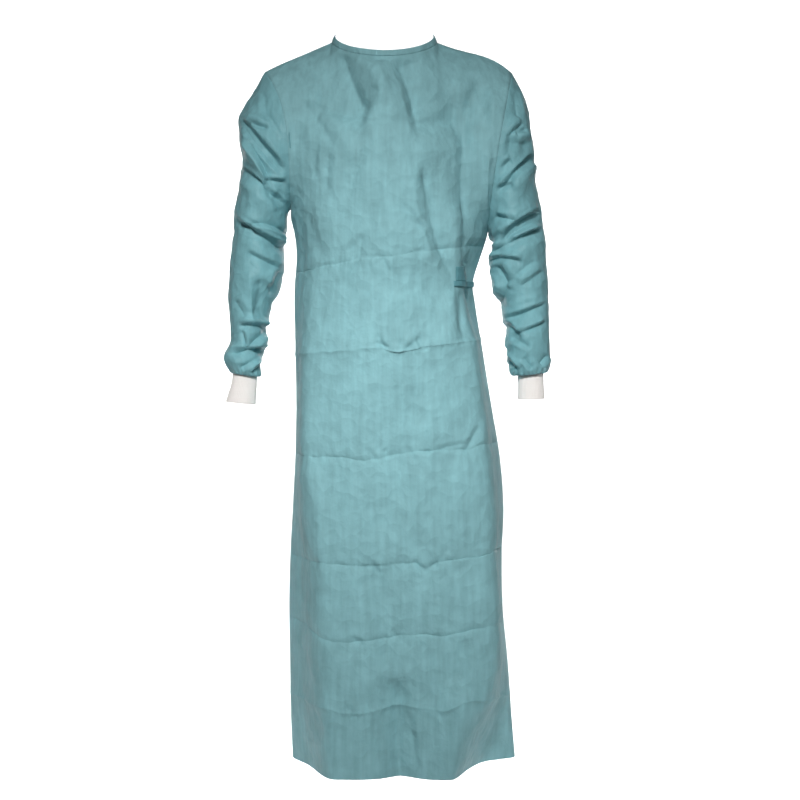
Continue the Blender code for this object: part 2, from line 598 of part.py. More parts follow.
def over_lift(across):
    """How far the outer back panel stands off where it laps over the inner one."""
    return LAP * ramp(across, LAP_RISE)


def make_back_panels(collection, material):
    """The two backs: the right one laps over the left one."""
    for name, spans, lift in (("back_panel_right_over", OVER_SPANS, over_lift),
                              ("back_panel_left_under", UNDER_SPANS, lambda across: 0.0)):
        grid = [[body_point(BACK, across, level, lift(across)) for across in spread(spans)]
                for level in body_levels()]
        cloth_piece(name, grid, collection, material, flipped=True)


def make_sleeve(name, side, collection, material):
    """A sleeve from the armhole to the cuff seam."""
    steps = (len(SLEEVE_RIGHT_RINGS) - 1) * SLEEVE_STEPS
    grid = [[sleeve_point(side, step / SLEEVE_STEPS, turn) for turn in sleeve_turns()]
            for step in range(steps + 1)]
    cloth_piece(name, grid, collection, material, closed=True, flipped=side == LEFT)


def make_cuff(name, side, rows, collection, material):
    """A knitted cuff with upright ribs."""
    turns = [math.pi * i / CUFF_RIBS for i in range(2 * CUFF_RIBS)]
    inner, outer = [], []
    for place in range(len(rows)):
        centre = (oval_point(rows, place, 0.0) + oval_point(rows, place, math.pi)) / 2.0
        inner_row, outer_row = [], []
        for i, turn in enumerate(turns):
            point = oval_point(rows, place, turn)
            outward = (point - centre).normalized()
            outer_row.append(point + outward * (RIB_HEIGHT if i % 2 == 0 else 0.0))
            inner_row.append(point - outward * KNIT)
        inner.append(inner_row)
        outer.append(outer_row)
    ribbed_tube(name, inner, outer, collection, material, flipped=side == LEFT)


def binding_path():
    """The neckline's points, end to end round the neck, and how near a peak each is (0 to 1)."""
    path = [(BACK, across, 0.0) for across in spread(UNDER_SPANS[:1])[:-1]]
    path += [(FRONT, across, 0.0) for across in reversed(spread(FRONT_SPANS[1:2]))]
    path += [(BACK, across, over_lift(across)) for across in spread(OVER_SPANS[1:])[1:]]
    rows = []
    for half, across, lift in path:
        part = (across - NECK_START) / (NECK_END - NECK_START)
        from_side = min(part, 1.0 - part)
        peak = math.exp(-from_side / BINDING_PEAK_REACH)
        rows.append((body_point(half, across, TOP_LEVEL, lift), peak))
    return rows


def make_neck_binding(collection, material):
    """The narrow strip that stands round the neckline, its ends lapped at the back."""
    centre = Vector((NECK_CENTRE, 0.0, 0.0))
    grid = []
    for row in range(BINDING_ROWS + 1):
        part = row / BINDING_ROWS
        points = []
        for edge, peak in binding_path():
            inward = (centre - edge) * Vector((1.0, 1.0, 0.0))
            inward = inward.normalized() * part * (BINDING_LEAN + BINDING_PEAK_LEAN * peak)
            rise = BINDING_LIFT + part * (BINDING_HEIGHT + BINDING_PEAK * peak)
            points.append(edge + inward + Vector((0.0, 0.0, rise)))
        grid.append(points)
    cloth_piece("neck_binding", grid, collection, material, flipped=True)


def level_at(half, across, height):
    """The level at which the body's surface has a height, found by halving."""
    low, high = 0.0, ARMPIT_LEVEL
    for _ in range(30):
        middle = (low + high) / 2.0
        if surface_point(half, across, middle).z < height:
            low = middle
        else:
            high = middle
    return (low + high) / 2.0


def strip_on_body(path, height, lifts):
    """One row of points at a height along a path of (half, columns, across) places."""
    return [panel_point(half, columns, across, level_at(half, across, height), lift)
            for (half, columns, across), lift in zip(path, lifts)]


def make_waist_tie(collection, material):
    """The tie from the outer back panel's edge round the left side to the front."""
    back_columns, front_columns = spread(UNDER_SPANS), spread(FRONT_SPANS)
    back = [TIE_START] + [across for across in back_columns if across > TIE_START]
    front = [across for across in reversed(front_columns) if TIE_END < across < 1.0] + [TIE_END]
    path = [(BACK, back_columns, across) for across in back]
    path += [(FRONT, front_columns, across) for across in front]
    lifts = [TIE_LIFT + (LAP - CLOTH) * max(0.0, 1.0 - i / TIE_DROP) for i in range(len(path))]
    bottom = TIE_HEIGHT - TIE_WIDTH / 2.0
    grid = [strip_on_body(path, bottom + TIE_WIDTH * row / TIE_ROWS, lifts)
            for row in range(TIE_ROWS + 1)]
    cloth_piece("waist_tie", grid, collection, material, flipped=True)


def make_tie_tab(collection, material):
    """The small patch on the front above the tie's end."""
    bottom = TIE_HEIGHT + TIE_WIDTH / 2.0 + SEAM
    columns = spread(FRONT_SPANS)
    path = [(FRONT, columns, lerp(TAB_START, TAB_END, i / TAB_CELLS)) for i in range(TAB_CELLS + 1)]
    grid = [strip_on_body(path, bottom + TAB_HEIGHT * row / TAB_ROWS, [TAB_LIFT] * len(path))
            for row in range(TAB_ROWS + 1)]
    cloth_piece("tie_tab", grid, collection, material)


def make_material(name, colour, roughness):
    """A plain material of one colour."""
    material = bpy.data.materials.new(name)
    material.use_nodes = True
    shader = material.node_tree.nodes["Principled BSDF"]
    shader.inputs["Base Color"].default_value = (*colour, 1.0)
    shader.inputs["Roughness"].default_value = roughness
    shader.inputs["Metallic"].default_value = 0.0
    return material


def main():
    """Clears the scene and builds the gown."""
    for item in list(bpy.data.objects):
        bpy.data.objects.remove(item)
    collection = bpy.data.collections.new(GOWN)
    bpy.context.scene.collection.children.link(collection)
    cloth = make_material("nonwoven_cloth", CLOTH_GREEN, CLOTH_ROUGHNESS)
    tape = make_material("tie_tape", TIE_GREEN, CLOTH_ROUGHNESS)
    knit = make_material("cuff_knit", KNIT_WHITE, KNIT_ROUGHNESS)
    make_front_panel(collection, cloth)
    make_back_panels(collection, cloth)
    make_sleeve("sleeve_right", RIGHT, collection, cloth)
    make_sleeve("sleeve_left", LEFT, collection, cloth)
    make_cuff("cuff_right", RIGHT, CUFF_RIGHT_RINGS, collection, knit)
    make_cuff("cuff_left", LEFT, CUFF_LEFT_RINGS, collection, knit)
    make_neck_binding(collection, cloth)
    make_waist_tie(collection, tape)
    make_tie_tab(collection, tape)


main()
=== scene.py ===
"""Surgical gown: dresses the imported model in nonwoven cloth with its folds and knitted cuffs.

Laid out as an add-on and run as a script. Metres, +Z up, the front faces -Y, left and right
are the wearer's. The body is one surface, as in the model's own source: a closed tube from
hem to armpits and a front and a back yoke above. A place on it is (half, across, level).
"""

import math
from collections import namedtuple

import bpy
import numpy as np
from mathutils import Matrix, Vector, noise


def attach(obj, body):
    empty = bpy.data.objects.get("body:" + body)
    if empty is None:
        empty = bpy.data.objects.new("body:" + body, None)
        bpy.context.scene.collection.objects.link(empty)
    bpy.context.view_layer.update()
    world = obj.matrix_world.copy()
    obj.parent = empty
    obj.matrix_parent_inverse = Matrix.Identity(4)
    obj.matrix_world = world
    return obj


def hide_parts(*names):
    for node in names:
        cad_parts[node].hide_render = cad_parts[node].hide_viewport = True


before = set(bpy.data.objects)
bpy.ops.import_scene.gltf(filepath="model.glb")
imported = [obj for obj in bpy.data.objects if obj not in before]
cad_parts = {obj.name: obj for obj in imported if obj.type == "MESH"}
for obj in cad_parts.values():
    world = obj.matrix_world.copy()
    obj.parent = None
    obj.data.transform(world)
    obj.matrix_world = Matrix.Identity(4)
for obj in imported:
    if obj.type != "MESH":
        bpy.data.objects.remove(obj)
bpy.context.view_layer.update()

bl_info = {
    "name": "Surgical gown",
    "version": (1, 0, 0),
    "blender": (4, 5, 0),
    "location": "View3D > Sidebar > Gown",
    "description": "Builds a hollow surgical gown with folds, knitted cuffs, binding and tie",
    "category": "Object",
}

MM = 0.001
FRONT, BACK = -1.0, 1.0
RIGHT, LEFT = -1.0, 1.0

# ------------------------------------------------------------------ sizes shared with the model
SEAM = 0.0003
LAP = 0.0040
CLOTH_LIFT = 0.0003
# The body's rings, hem to armpits: height and tilt of the plane, how far the packing fold
# there stands out (m), and the rows of mesh up to the next ring.
Ring = namedtuple("Ring", "height tilt fold steps")
RINGS = (
    Ring(-1.331, 0.000, 0.0000, 31),
    Ring(-1.207, 0.000, 0.0020, 33),
    Ring(-1.076, 0.000, -0.0018, 34),
    Ring(-0.943, 0.022, -0.0020, 48),
    Ring(-0.7535, 0.060, -0.0018, 50),
    Ring(-0.557, 0.090, 0.0018, 40),
    Ring(-0.398, 0.120, -0.0020, 19),
    Ring(-0.324, -0.116, 0.0000, 0),
)
FOLD_REACH = 0.045
ARMPIT = float(len(RINGS) - 1)
TOP = ARMPIT + 1.0
ROW_CROWDING, YOKE_STEPS, YOKE_CROWDING = 0.6, 94, 1.2
COLUMN_LEVEL, COLUMN_SAMPLES = 4.0, 400

# Level sections of the body, one row a height, in mm.
Section = namedtuple("Section", "height side_right side_left corner_right corner_left "
                                "front back setback tuck_right tuck_left")
SECTIONS = Section(*np.array([
    (-1331, -173.5, 244, -88, 112, -156, 160, 6, 12, 36),
    (-1250, -176.5, 237, -96, 148, -157, 159, 8, 10, 18),
    (-1150, -177.5, 229.5, -104, 183, -156, 157, 10, 8, 2),
    (-1039, -178.5, 219, -107, 188, -152, 154, 13, 8, 0),
    (-943, -176, 217.5, -111, 183, -149, 151, 16, 6, 0),
    (-860, -171.5, 220.5, -125, 180, -147, 149, 19, 3, 0),
    (-765, -166.5, 213.5, -133, 172, -144, 146, 22, 0, 0),
    (-670, -164.5, 197.5, -133, 161, -141, 142, 27, 0, 0),
    (-557, -165.5, 179, -128, 147, -137, 136, 34, 0, 0),
    (-476, -167.5, 166.2, -122, 133, -131, 127, 39, 0, 4),
    (-441, -166.5, 162.5, -120, 129, -127, 122, 40, 0, 6),
    (-395, -163, 176, -117, 128, -131, 124, 40, 0, 3),
    (-355, -166, 188.5, -116, 129, -130, 126, 38, 0, 0),
    (-324, -173.5, 190, -116, 130, -128, 127, 36, 0, 0),
]).T / 1000.0)
SIDE_DEPTH = 0.006
BACK_CORNER = 0.66
FLANK_OUT, FLANK_BACK, FLANK_TUCK = 0.78, 0.42, 0.6

NECK_CENTRE, NECK_HALF_WIDTH = -0.0005, 0.0960
NECK_FRONT, NECK_BACK = 0.072, 0.080
NECK_FRONT_DROP, NECK_BACK_DROP, NECK_ROUNDNESS = 0.0345, 0.0130, 1.2
SHOULDER_RIGHT, SHOULDER_LEFT = (-0.2209, 0.0, -0.0543), (0.2340, 0.0, -0.0560)
HUMP_RIGHT, HUMP_LEFT = 0.0015, 0.0100
ARMHOLE_DEPTH, ARMHOLE_STRAIGHTNESS = 0.072, 0.3
FLARE_RIGHT, FLARE_LEFT = 4.0, 1.4
NECK_START, NECK_END = 0.32, 0.68
ACROSS_KNOTS = (0.0, 0.15, NECK_START, 0.5, NECK_END, 0.85, 1.0)
ARMHOLE_SPREAD = 0.45
YOKE_POWER, YOKE_FLARE, YOKE_ROUND_SHOULDER, YOKE_ROUND_NECK = 2.6, 2.0, 1.7, 1.0
UNDER_START, OVER_END, LAP_RISE = 0.40, 0.64, (0.30, 0.39)
# Folds fade towards the side seams and, over the last of the yoke, towards the top edge.
SEAM_CALM, TOP_CALM, TOP_FADE = 0.08, 0.85, 0.06
SOFTENING_PASSES = 60

CREASE_GAIN, CREASE_WIDTH, CREASE_REACH, CREASE_WANDER = 1.7, 0.0048, 0.060, 0.0012
PUCKER_HEIGHT, PUCKER_REACH = 0.0010, 0.012
# Packing folds, pressed in while the gown was folded flat: for each ring, the crease's
# depth (mm, + out), then its height over the ring's plane (mm) at across values.
CREASES = {
    1: (1.5, (0.0, 0), (0.19, 3), (0.325, 4), (0.375, -4), (0.42, -4), (0.488, 9), (0.544, 4),
        (0.60, 1), (0.619, 10), (0.631, 17), (0.67, 18), (0.93, 0), (1.0, 0)),
    2: (-1.5, (0.0, 8), (0.075, 11), (0.231, 9), (0.325, -5), (0.381, -9), (0.431, -6),
        (0.506, 3), (0.556, 5.5), (0.588, 3), (0.631, 12), (0.688, 19), (1.0, 4)),
    3: (-1.3, (0.0, 0), (0.325, 2), (0.406, -4), (0.45, -5), (0.538, 0), (0.556, -15),
        (0.575, 0), (0.675, 8), (0.738, 11), (1.0, 4)),
    4: (-1.2, (0.0, 6), (0.306, 8), (0.394, 4), (0.438, -4), (0.488, 2), (0.538, 8),
        (0.588, 6), (0.65, 4), (0.694, 10), (1.0, 4)),
    5: (1.3, (0.0, 0), (0.475, 0), (0.50, -6), (0.525, -10), (0.55, -8), (0.575, -6),
        (0.65, -4), (0.913, -4), (1.0, 0)),
    6: (-0.9, (0.0, -3), (0.262, -3), (0.375, 0), (0.413, 3), (0.438, 9), (0.481, 3),
        (0.525, 1), (0.581, 5.5), (0.638, 4), (0.725, 3), (1.0, 0)),
}

# Folds in the plane of the front view, in mm: a line from (x1, z1) to (x2, z2), bowed
# sideways, with a trough of this width and depth (a ridge if negative) and a lip beside it.
# A trough is steeper on its lip's side. Each table's folds are deepened, and have edges as
# crisp, as its gain says.
Fold = namedtuple("Fold", "x1 z1 x2 z2 bow width depth lip")
Gain = namedtuple("Gain", "depth crisp")
LIP_DISTANCE, FOLD_ENDS = 1.7, 0.2
STEEP, GENTLE = 0.7, 1.35
BODY_BROAD, BODY_FINE = Gain(1.25, 1.3), Gain(1.8, 1.2)
SLEEVE_BROAD, SLEEVE_FINE = Gain(1.2, 1.3), Gain(2.6, 1.15)
HIDDEN_BROAD, HIDDEN_FINE = Gain(1.0, 2.0), Gain(1.0, 1.35)


def folds(*rows):
    """Folds from rows of their numbers."""
    return tuple(Fold(*row) for row in rows)


FRONT_FOLDS = folds(
    (-154, -106, -84, -204, 0, 14, 5.5, 0.6), (-80, -18, -30, -142, -5, 23, 12, 0.5),
    (16, -30, 62, -150, 4, 22, 11.5, -0.5), (-138, -116, -24, -156, 0, 32, 13, -0.3),
    (40, -160, 148, -140, 0, 32, 13, -0.3), (160, -56, 194, -222, 6, 16, 6, -0.5),
    (160, -76, 152, -334, -8, 24, 15, 0.6), (68, -215, 132, -448, -14, 13, 7.5, -0.7),
    (147, -290, 150, -436, 0, 13, 6.5, -0.6), (141, -446, 143, -560, 0, 15, 6, -0.5),
    (-150, -305, -110, -400, 0, 18, 5, 0.5), (-60, -210, -64, -300, 5, 15, 2.2, 0.6),
    (60, -600, -10, -935, 0, 26, 5, 0.4), (-14, -930, 8, -1150, 0, 28, 4.5, -0.4),
    (96, -1130, 84, -1340, 0, 26, 5, 0.4), (-140, -740, -104, -1010, 6, 22, -6, 0),
    (-106, -990, -88, -1400, 0, 20, -6.5, 0), (112, -1400, 150, -1160, 6, 20, -7, 0),
    (30, -1430, 22, -1130, 0, 28, 18, 0), (123, -1160, 145, -1070, 0, 17, 5, -0.5),
)
FRONT_CREASES = folds(
    (-98, -196, -106, -285, 0, 8, 2, 0.5), (-8, -40, -8, -104, 0, 22, -3, 0),
    (-75, -150, -30, -128, 0, 5, 0.8, 0.5), (-40, -160, 20, -150, 2, 5, 0.8, 0.4),
    (66, -232, 98, -320, -3, 7, 1.6, -0.6), (33, -323, 93, -362, 0, 6, 1.2, 0.6),
    (55, -330, 89, -368, 0, 5, 1, -0.5), (-76, -450, -44, -400, 0, 6, 2, 0.6),
    (-6, -396, 15, -428, 0, 5, 1.6, 0.5), (-30, -404, -18, -432, 0, 4, 0.8, 0.5),
    (128, -446, 138, -536, 2, 6, 1.6, -0.6), (-13, -532, 5, -568, 0, 5, 2.2, 0.6),
    (34, -566, 64, -538, 0, 5, 2.2, 0.6), (58, -538, 72, -568, 0, 5, 2, -0.6),
    (142, -750, 173, -694, 0, 6, 2.2, 0.6), (78, -700, 81, -752, 0, 5, 1.8, 0.5),
    (84, -610, 84, -955, 0, 5, -0.9, 0), (80, -920, 92, -952, 0, 5, 1.6, 0.6),
    (110, -918, 90, -956, 0, 5, 1.2, 0.6), (84, -1085, 78, -1200, 0, 7, 1.2, 0.5),
    (42, -1212, 60, -1325, 2, 6, 1.6, 0.7), (146, -1088, 142, -1156, 0, 7, 1.8, 0.5),
    (171, -1240, 178, -1315, 0, 8, 2, 0.6), (-121, -1210, -111, -1262, 0, 7, 1.5, 0.5),
    (-148, -1105, -134, -1170, 0, 8, 1.5, 0.5), (-70, -392, -28, -352, 3, 5, 1.6, 0.6),
    (-48, -398, -40, -360, 0, 4, 1.2, 0.5), (-92, -402, -72, -440, 0, 5, 1.3, -0.5),
    (-118, -180, -124, -262, -3, 6, 1.8, 0.5), (-34, -196, -62, -262, 4, 5, 1.4, -0.5),
    (28, -300, 74, -352, 2, 5, 1.5, 0.6), (-20, -548, 12, -560, 2, 4, 1.6, 0.5),
    (24, -545, 44, -562, 0, 4, 1.6, -0.5), (-32, -735, -12, -762, 0, 5, 1.6, 0.5),
    (-2, -738, 10, -758, 0, 4, 1.4, -0.5), (38, -732, 56, -760, 0, 5, 1.6, 0.5),
    (-92, -748, -78, -775, 0, 4, 1.2, 0.5), (96, -740, 150, -730, 2, 5, 1.3, 0.5),
    (-30, -935, -4, -965, 0, 5, 1.6, 0.5), (52, -935, 72, -962, 0, 5, 1.5, -0.5),
    (-60, -1070, -34, -1092, 0, 5, 1.5, 0.5), (10, -1062, 34, -1088, 0, 5, 1.6, -0.5),
    (-72, -1195, -46, -1222, 0, 6, 1.5, 0.5), (86, -1200, 110, -1226, 0, 6, 1.6, -0.5),
)
BACK_FOLDS = folds(
    (-100, -60, -150, -250, 6, 20, 4.5, 0.5), (110, -60, 160, -270, -6, 20, 4.5, -0.5),
    (112, -290, 140, -430, 0, 18, 4.5, 0.5), (60, -340, 90, -620, 4, 22, 4.5, 0.5),
    (-110, -420, -135, -900, 8, 24, -4, 0), (-50, -1400, -30, -1080, 0, 26, 9, 0.5),
    (130, -1400, 160, -900, 0, 26, 8, 0.5),
)
BACK_CREASES = folds(
    (-60, -50, -70, -190, 4, 12, 1.6, 0.5), (-20, -40, -40, -150, 0, 10, 1.4, -0.5),
    (70, -60, 60, -200, 0, 12, 1.8, 0.5), (-120, -260, -90, -380, 6, 8, 1.8, 0.5),
    (-60, -300, -30, -420, 0, 7, 1.2, -0.5), (-130, -440, -100, -520, 0, 8, 1.6, 0.5),
    (120, -440, 105, -560, 4, 8, 2, -0.5), (80, -430, 92, -520, 0, 6, 1.4, 0.5),
    (-40, -575, -10, -700, 0, 9, 1.4, 0.5), (60, -760, 80, -900, 4, 10, 1.6, 0.5),
    (-90, -950, -80, -1060, 0, 9, 1.4, -0.5), (20, -1090, 40, -1190, 0, 8, 1.6, 0.5),
    (90, -1215, 100, -1320, 0, 8, 1.8, 0.5), (-120, -1215, -110, -1320, 0, 9, 1.8, -0.5),
)

# Small uneven rumples: wavelength along each axis (m), height as a share of the rumple depth
# and the noise's seed. Sharp ones have a crease wherever the noise passes zero.
Rumple = namedtuple("Rumple", "sizes share seed sharp")
BODY_RUMPLES = (
    Rumple((0.075, 0.2, 0.110), 1.5, 3.0, False),
    Rumple((0.024, 0.2, 0.160), 0.8, 11.0, False),
    Rumple((0.040, 0.2, 0.050), -1.8, 23.0, True),
    Rumple((0.015, 0.2, 0.020), -0.75, 37.0, True),
)
SLEEVE_RUMPLES = {side: (
    Rumple((0.040, 0.06, 0.035), 1.1, 51.0 + side, False),
    Rumple((0.030, 0.04, 0.022), -1.4, 67.0, True),
    Rumple((0.012, 0.02, 0.010), -0.6, 83.0, True),
) for side in (RIGHT, LEFT)}

# Sleeves and cuffs: rings from the point at the arm's outer side to the one at its inner side.
TubeRing = namedtuple("TubeRing", "outer_x outer_z inner_x inner_z half_depth middle_y")


def tube_rings(*rows):
    """Rings of a sleeve or cuff from rows of their numbers in mm."""
    return tuple(TubeRing(*(size / 1000.0 for size in row)) for row in rows)


SLEEVE_RIGHT_RINGS = tube_rings(
    (-220.9, -54.3, -173.5, -303.9, 72, 3), (-246, -96, -178, -310, 74, 4),
    (-269, -134, -181, -319, 74, 4), (-270.5, -172, -182, -331, 73, 4),
    (-264, -212, -183, -345, 71, 5), (-268, -262, -188, -363, 69, 6),
    (-279.5, -310, -187, -388, 67, 7), (-283, -365, -188, -419, 64, 7),
    (-288, -420, -194, -451, 61, 6), (-291, -470, -209, -481, 57, 2),
    (-287.5, -515, -216.5, -519, 52, -4), (-285.5, -550, -219, -553, 47, -10),
    (-298.5, -577, -228, -581, 43, -15), (-287, -602, -229, -610, 33, -19),
    (-282.3, -606.5, -235.5, -613.5, 24.8, -20),
)
SLEEVE_LEFT_RINGS = tube_rings(
    (234, -56, 190, -346, 72, 3), (251.5, -88, 195.5, -352.5, 74, 4),
    (263.5, -120, 198.5, -360, 74, 4), (269.5, -158, 200, -369, 73, 4),
    (276.5, -200, 197, -379, 71, 5), (277.5, -250, 192.5, -392, 69, 6),
    (289.5, -300, 193.5, -407, 67, 7), (296, -350, 196.5, -430, 65, 7),
    (300, -405, 201, -457, 62, 6), (302.5, -455, 214.5, -484, 58, 2),
    (304, -500, 219, -508, 54, -4), (304, -543, 222.5, -545, 49, -10),
    (306, -586, 226.5, -585, 43, -16), (301, -603.5, 232, -609, 36, -19),
    (294, -606.5, 245, -612, 24.8, -20),
)
CUFF_RIGHT_RINGS = tube_rings(
    (-280.5, -596, -237.5, -603, 23.2, -20), (-281.2, -611, -236.8, -618, 23.6, -20),
    (-283.5, -627, -237, -633, 24.5, -20), (-289.5, -646, -238.8, -649, 25.8, -21),
    (-293.8, -660.5, -238.6, -665, 26.2, -22),
)
CUFF_LEFT_RINGS = tube_rings(
    (292.5, -597.5, 246.5, -602, 23.2, -20), (293, -611, 246, -614, 23.6, -20),
    (293.2, -627, 246.5, -628, 24.5, -20), (294.2, -642, 246.5, -643, 25.5, -21),
    (294.8, -655, 245.8, -656, 25.8, -22),
)
ARMHOLE_GAP, ARMHOLE_GAP_SWING, ARMHOLE_BLEND = 0.0006, 0.0002, 3.0
# Each sleeve's first row is turned in at the armhole, so that the seam can't be seen through.
SEAM_ALLOWANCE, TUCK = 0.0060, 0.0013
SLEEVE_ROWS, FRONT_CROWDING = 255, 0.4
# No fold may reach deeper, or it would come out through the sleeve's far side.
DEEPEST = 0.0125
FOLD_WRAP = 0.35
ARMHOLE_CALM, CUFF_CALM, SEAM_RUMPLE = (0.1, 1.0), (0.3, 1.2), 0.15
# The gathers where the cuff is sewn on: height, place before the last ring, reach, number.
GATHER_HEIGHT, GATHER_PLACE, GATHER_REACH, GATHERS = 0.0006, 0.9, 0.7, 21.0
CUFF_ROWS, CUFF_WALL, CUFF_WAVE, RIB_COLUMNS = 33, 0.0009, 0.0006, 6

# The sleeves' folds, from the shoulder down. The broad ones are the model's own.
SLEEVE_RIGHT_FOLDS = folds(
    (-272, -142, -182, -232, 0, 13, 8, 0.6), (-266, -228, -182, -298, 0, 12, 6.5, -0.5),
    (-280, -326, -182, -388, 0, 13, 8.5, 0.5), (-256, -388, -194, -412, 0, 12, 4.5, 0.5),
    (-244, -512, -200, -440, 4, 16, 5.5, -0.4), (-284, -567, -222, -570, 0, 11, 6, -0.5),
)
SLEEVE_RIGHT_CREASES = folds(
    (-269, -137, -174, -246, 0, 5, 4.2, 0.7), (-267, -151, -183, -246, -2, 4.5, 3.4, -0.6),
    (-258, -175, -205, -260, 3, 5, 4.6, -0.7), (-225, -164, -174, -231, 0, 6, -2.6, 0),
    (-212, -131, -176, -195, 0, 4.5, 2.2, 0.5), (-220, -91, -214, -160, 0, 6, 2.4, -0.5),
    (-254, -149, -207, -164, 0, 6, 4.2, 0.7), (-267, -233, -179, -302, 2, 4.5, 3, 0.6),
    (-220, -257, -174, -259, 0, 4.5, 3.2, 0.6), (-207, -257, -203, -291, 0, 4, 2, 0.5),
    (-278, -324, -172, -386, 0, 5, 4.8, 0.7), (-254, -339, -176, -357, 12, 4.5, 2.8, -0.5),
    (-256, -384, -185, -417, 0, 4.5, 2.4, 0.5), (-247, -415, -241, -528, 0, 9, -2.6, 0),
    (-229, -430, -223, -521, 0, 12, 2.4, 0), (-189, -415, -209, -470, 0, 7, 3.2, -0.5),
    (-269, -521, -209, -528, 5, 5, 3.4, 0.7), (-263, -526, -252, -562, 0, 4.5, 2.2, 0.5),
    (-256, -564, -209, -526, 0, 5, 3, -0.6), (-289, -570, -209, -566, 3, 5, 3.6, 0.7),
    (-267, -599, -220, -573, 0, 4.5, 2.4, -0.5), (-245, -610, -218, -577, 0, 4.5, 2.6, 0.5),
    (-278, -473, -252, -506, 0, 8, 2, 0.5),
)
SLEEVE_LEFT_FOLDS = folds(
    (212, -188, 266, -194, 0, 12, 6, 0.5), (220, -262, 276, -206, 3, 12, 7.5, -0.5),
    (206, -382, 292, -310, 8, 13, 8.5, 0.6), (196, -404, 294, -340, 6, 11, 6, -0.4),
    (198, -414, 226, -446, 0, 12, 4.5, 0.4), (226, -506, 296, -480, 0, 12, 4.5, 0.5),
    (228, -510, 236, -556, 0, 12, 4, 0.4),
)
SLEEVE_LEFT_CREASES = folds(
    (217, -180, 254, -153, 0, 6.5, 4.8, 0.7), (237, -173, 259, -162, 0, 4.5, 2.8, 0.5),
    (215, -186, 270, -189, 0, 9, 3.4, 0.6), (208, -271, 277, -208, 0, 5, 4.6, 0.7),
    (226, -253, 276, -215, 0, 4.5, 3.6, -0.6), (206, -235, 232, -218, 0, 4.5, 2.6, 0.5),
    (199, -273, 235, -262, 0, 4.5, 3.8, 0.6), (199, -319, 241, -330, 0, 5.5, 2.8, 0.6),
    (208, -366, 290, -310, 6, 5.5, 4.6, 0.7), (199, -377, 294, -326, 5, 5, 3.6, -0.6),
    (225, -371, 290, -340, 0, 4.5, 2.8, 0.6), (190, -388, 294, -344, 3, 5, 3.6, 0.7),
    (188, -400, 254, -404, 4, 5, 3.4, 0.7), (197, -408, 223, -451, 3, 7, 4, -0.5),
    (223, -444, 208, -488, 0, 8, 3.6, -0.5), (217, -508, 301, -477, -2, 4.5, 2.8, 0.6),
    (235, -535, 301, -510, -3, 4.5, 2.8, 0.6), (215, -512, 250, -546, 0, 6, 3.2, 0.5),
    (225, -539, 268, -561, 0, 4.5, 2.2, -0.5), (217, -573, 243, -604, 0, 5, 3, 0.6),
    (252, -577, 270, -601, 0, 4.5, 2.2, -0.5), (301, -573, 283, -592, 0, 5, 2.6, 0.5),
    (245, -450, 292, -419, 0, 5, 1.8, 0.5), (234, -431, 277, -400, 0, 5, 1.8, -0.5),
    (232, -87, 243, -146, 0, 7, 2, 0.5),
)

BINDING_LIFT, BINDING_HEIGHT = 0.0006, 0.0100
BINDING_PEAK, BINDING_PEAK_REACH = 0.0046, 0.12
BINDING_LEAN, BINDING_PEAK_LEAN = 0.0010, 0.0060
TIE_WIDTH, TIE_HEIGHT, TIE_START, TIE_END = 0.010, -0.4440, 0.646, 0.67
TAB_START, TAB_END, TAB_HEIGHT = 0.68, 0.80, 0.024
TIE_LIFT, TAB_LIFT = 0.0026, 0.0020
# The tie comes down from the lap over this many of its columns.
TIE_STEP_DOWN = 16.0
TAPE_WALL, TAB_WALL, BINDING_WALL = 0.0009, 0.0008, 0.0011
RINGS_BELOW_WAIST, HALVINGS = 4.0, 18

# The background paper as y, z and half-width, up to its bend, and the bend's radius.
PAPER_FLOOR = [(-3.6, -1.50, 3.0), (-1.0, -1.50, 3.0), (1.2, -1.50, 1.6)]
PAPER_BEND, PAPER_TOP = 0.8, (2.0, 0.8, 1.6)
AMBIENT = 0.06
CAMERA_PLACE, CAMERA_DOWN, SENSOR_WIDTH, FOCAL_LENGTH = (0.028, -3.22, -0.4915), 2.97, 36.0, 77.94
# The lamps on the background stand behind the gown and are aimed so that it is just white
# where it is seen; anything brighter would put pale rims on the gown's sides.
Light = namedtuple("Light", "name place aim size spread watts")
LIGHTS = (
    Light("key", (-0.2, -2.9, 1.2), (0.0, 0.0, -0.69), (0.25, 0.25), 34.0, 3.6),
    Light("fill", (0.3, -2.9, 0.9), (0.0, 0.0, -1.25), (0.40, 0.40), 64.0, 3.4),
    Light("backdrop", (0.0, 0.5, -0.5), (0.0, 2.0, -0.35), (0.3, 0.8), 120.0, 12.5),
    Light("backdrop_right", (-0.15, 0.5, -0.3), (-1.0, 2.0, -0.3), (0.2, 0.8), 70.0, 10.6),
    Light("backdrop_left", (0.15, 0.5, -0.3), (1.0, 2.0, -0.3), (0.2, 0.8), 70.0, 11.6),
    Light("backdrop_top", (0.0, 0.6, 0.9), (0.0, 2.0, 0.2), (1.6, 0.2), 90.0, 3.3),
    Light("floor_right", (-0.5, 1.0, 0.9), (-0.75, 0.75, -1.5), (0.5, 0.5), 60.0, 14.0),
    Light("floor_left", (0.5, 1.0, 0.9), (0.75, 0.75, -1.5), (0.5, 0.5), 60.0, 15.0),
)


# ------------------------------------------------------------------ helpers on arrays
def lerp(start, end, part):
    """The value a part of the way from start to end."""
    return start + (end - start) * part


def smooth(part):
    """Ease from 0 to 1 as part goes from 0 to 1."""
    part = np.clip(part, 0.0, 1.0)
    return part * part * (3.0 - 2.0 * part)


def ramp(value, ends):
    """Ease from 0 to 1 as value goes from one end to the other."""
    return smooth((value - ends[0]) / (ends[1] - ends[0]))


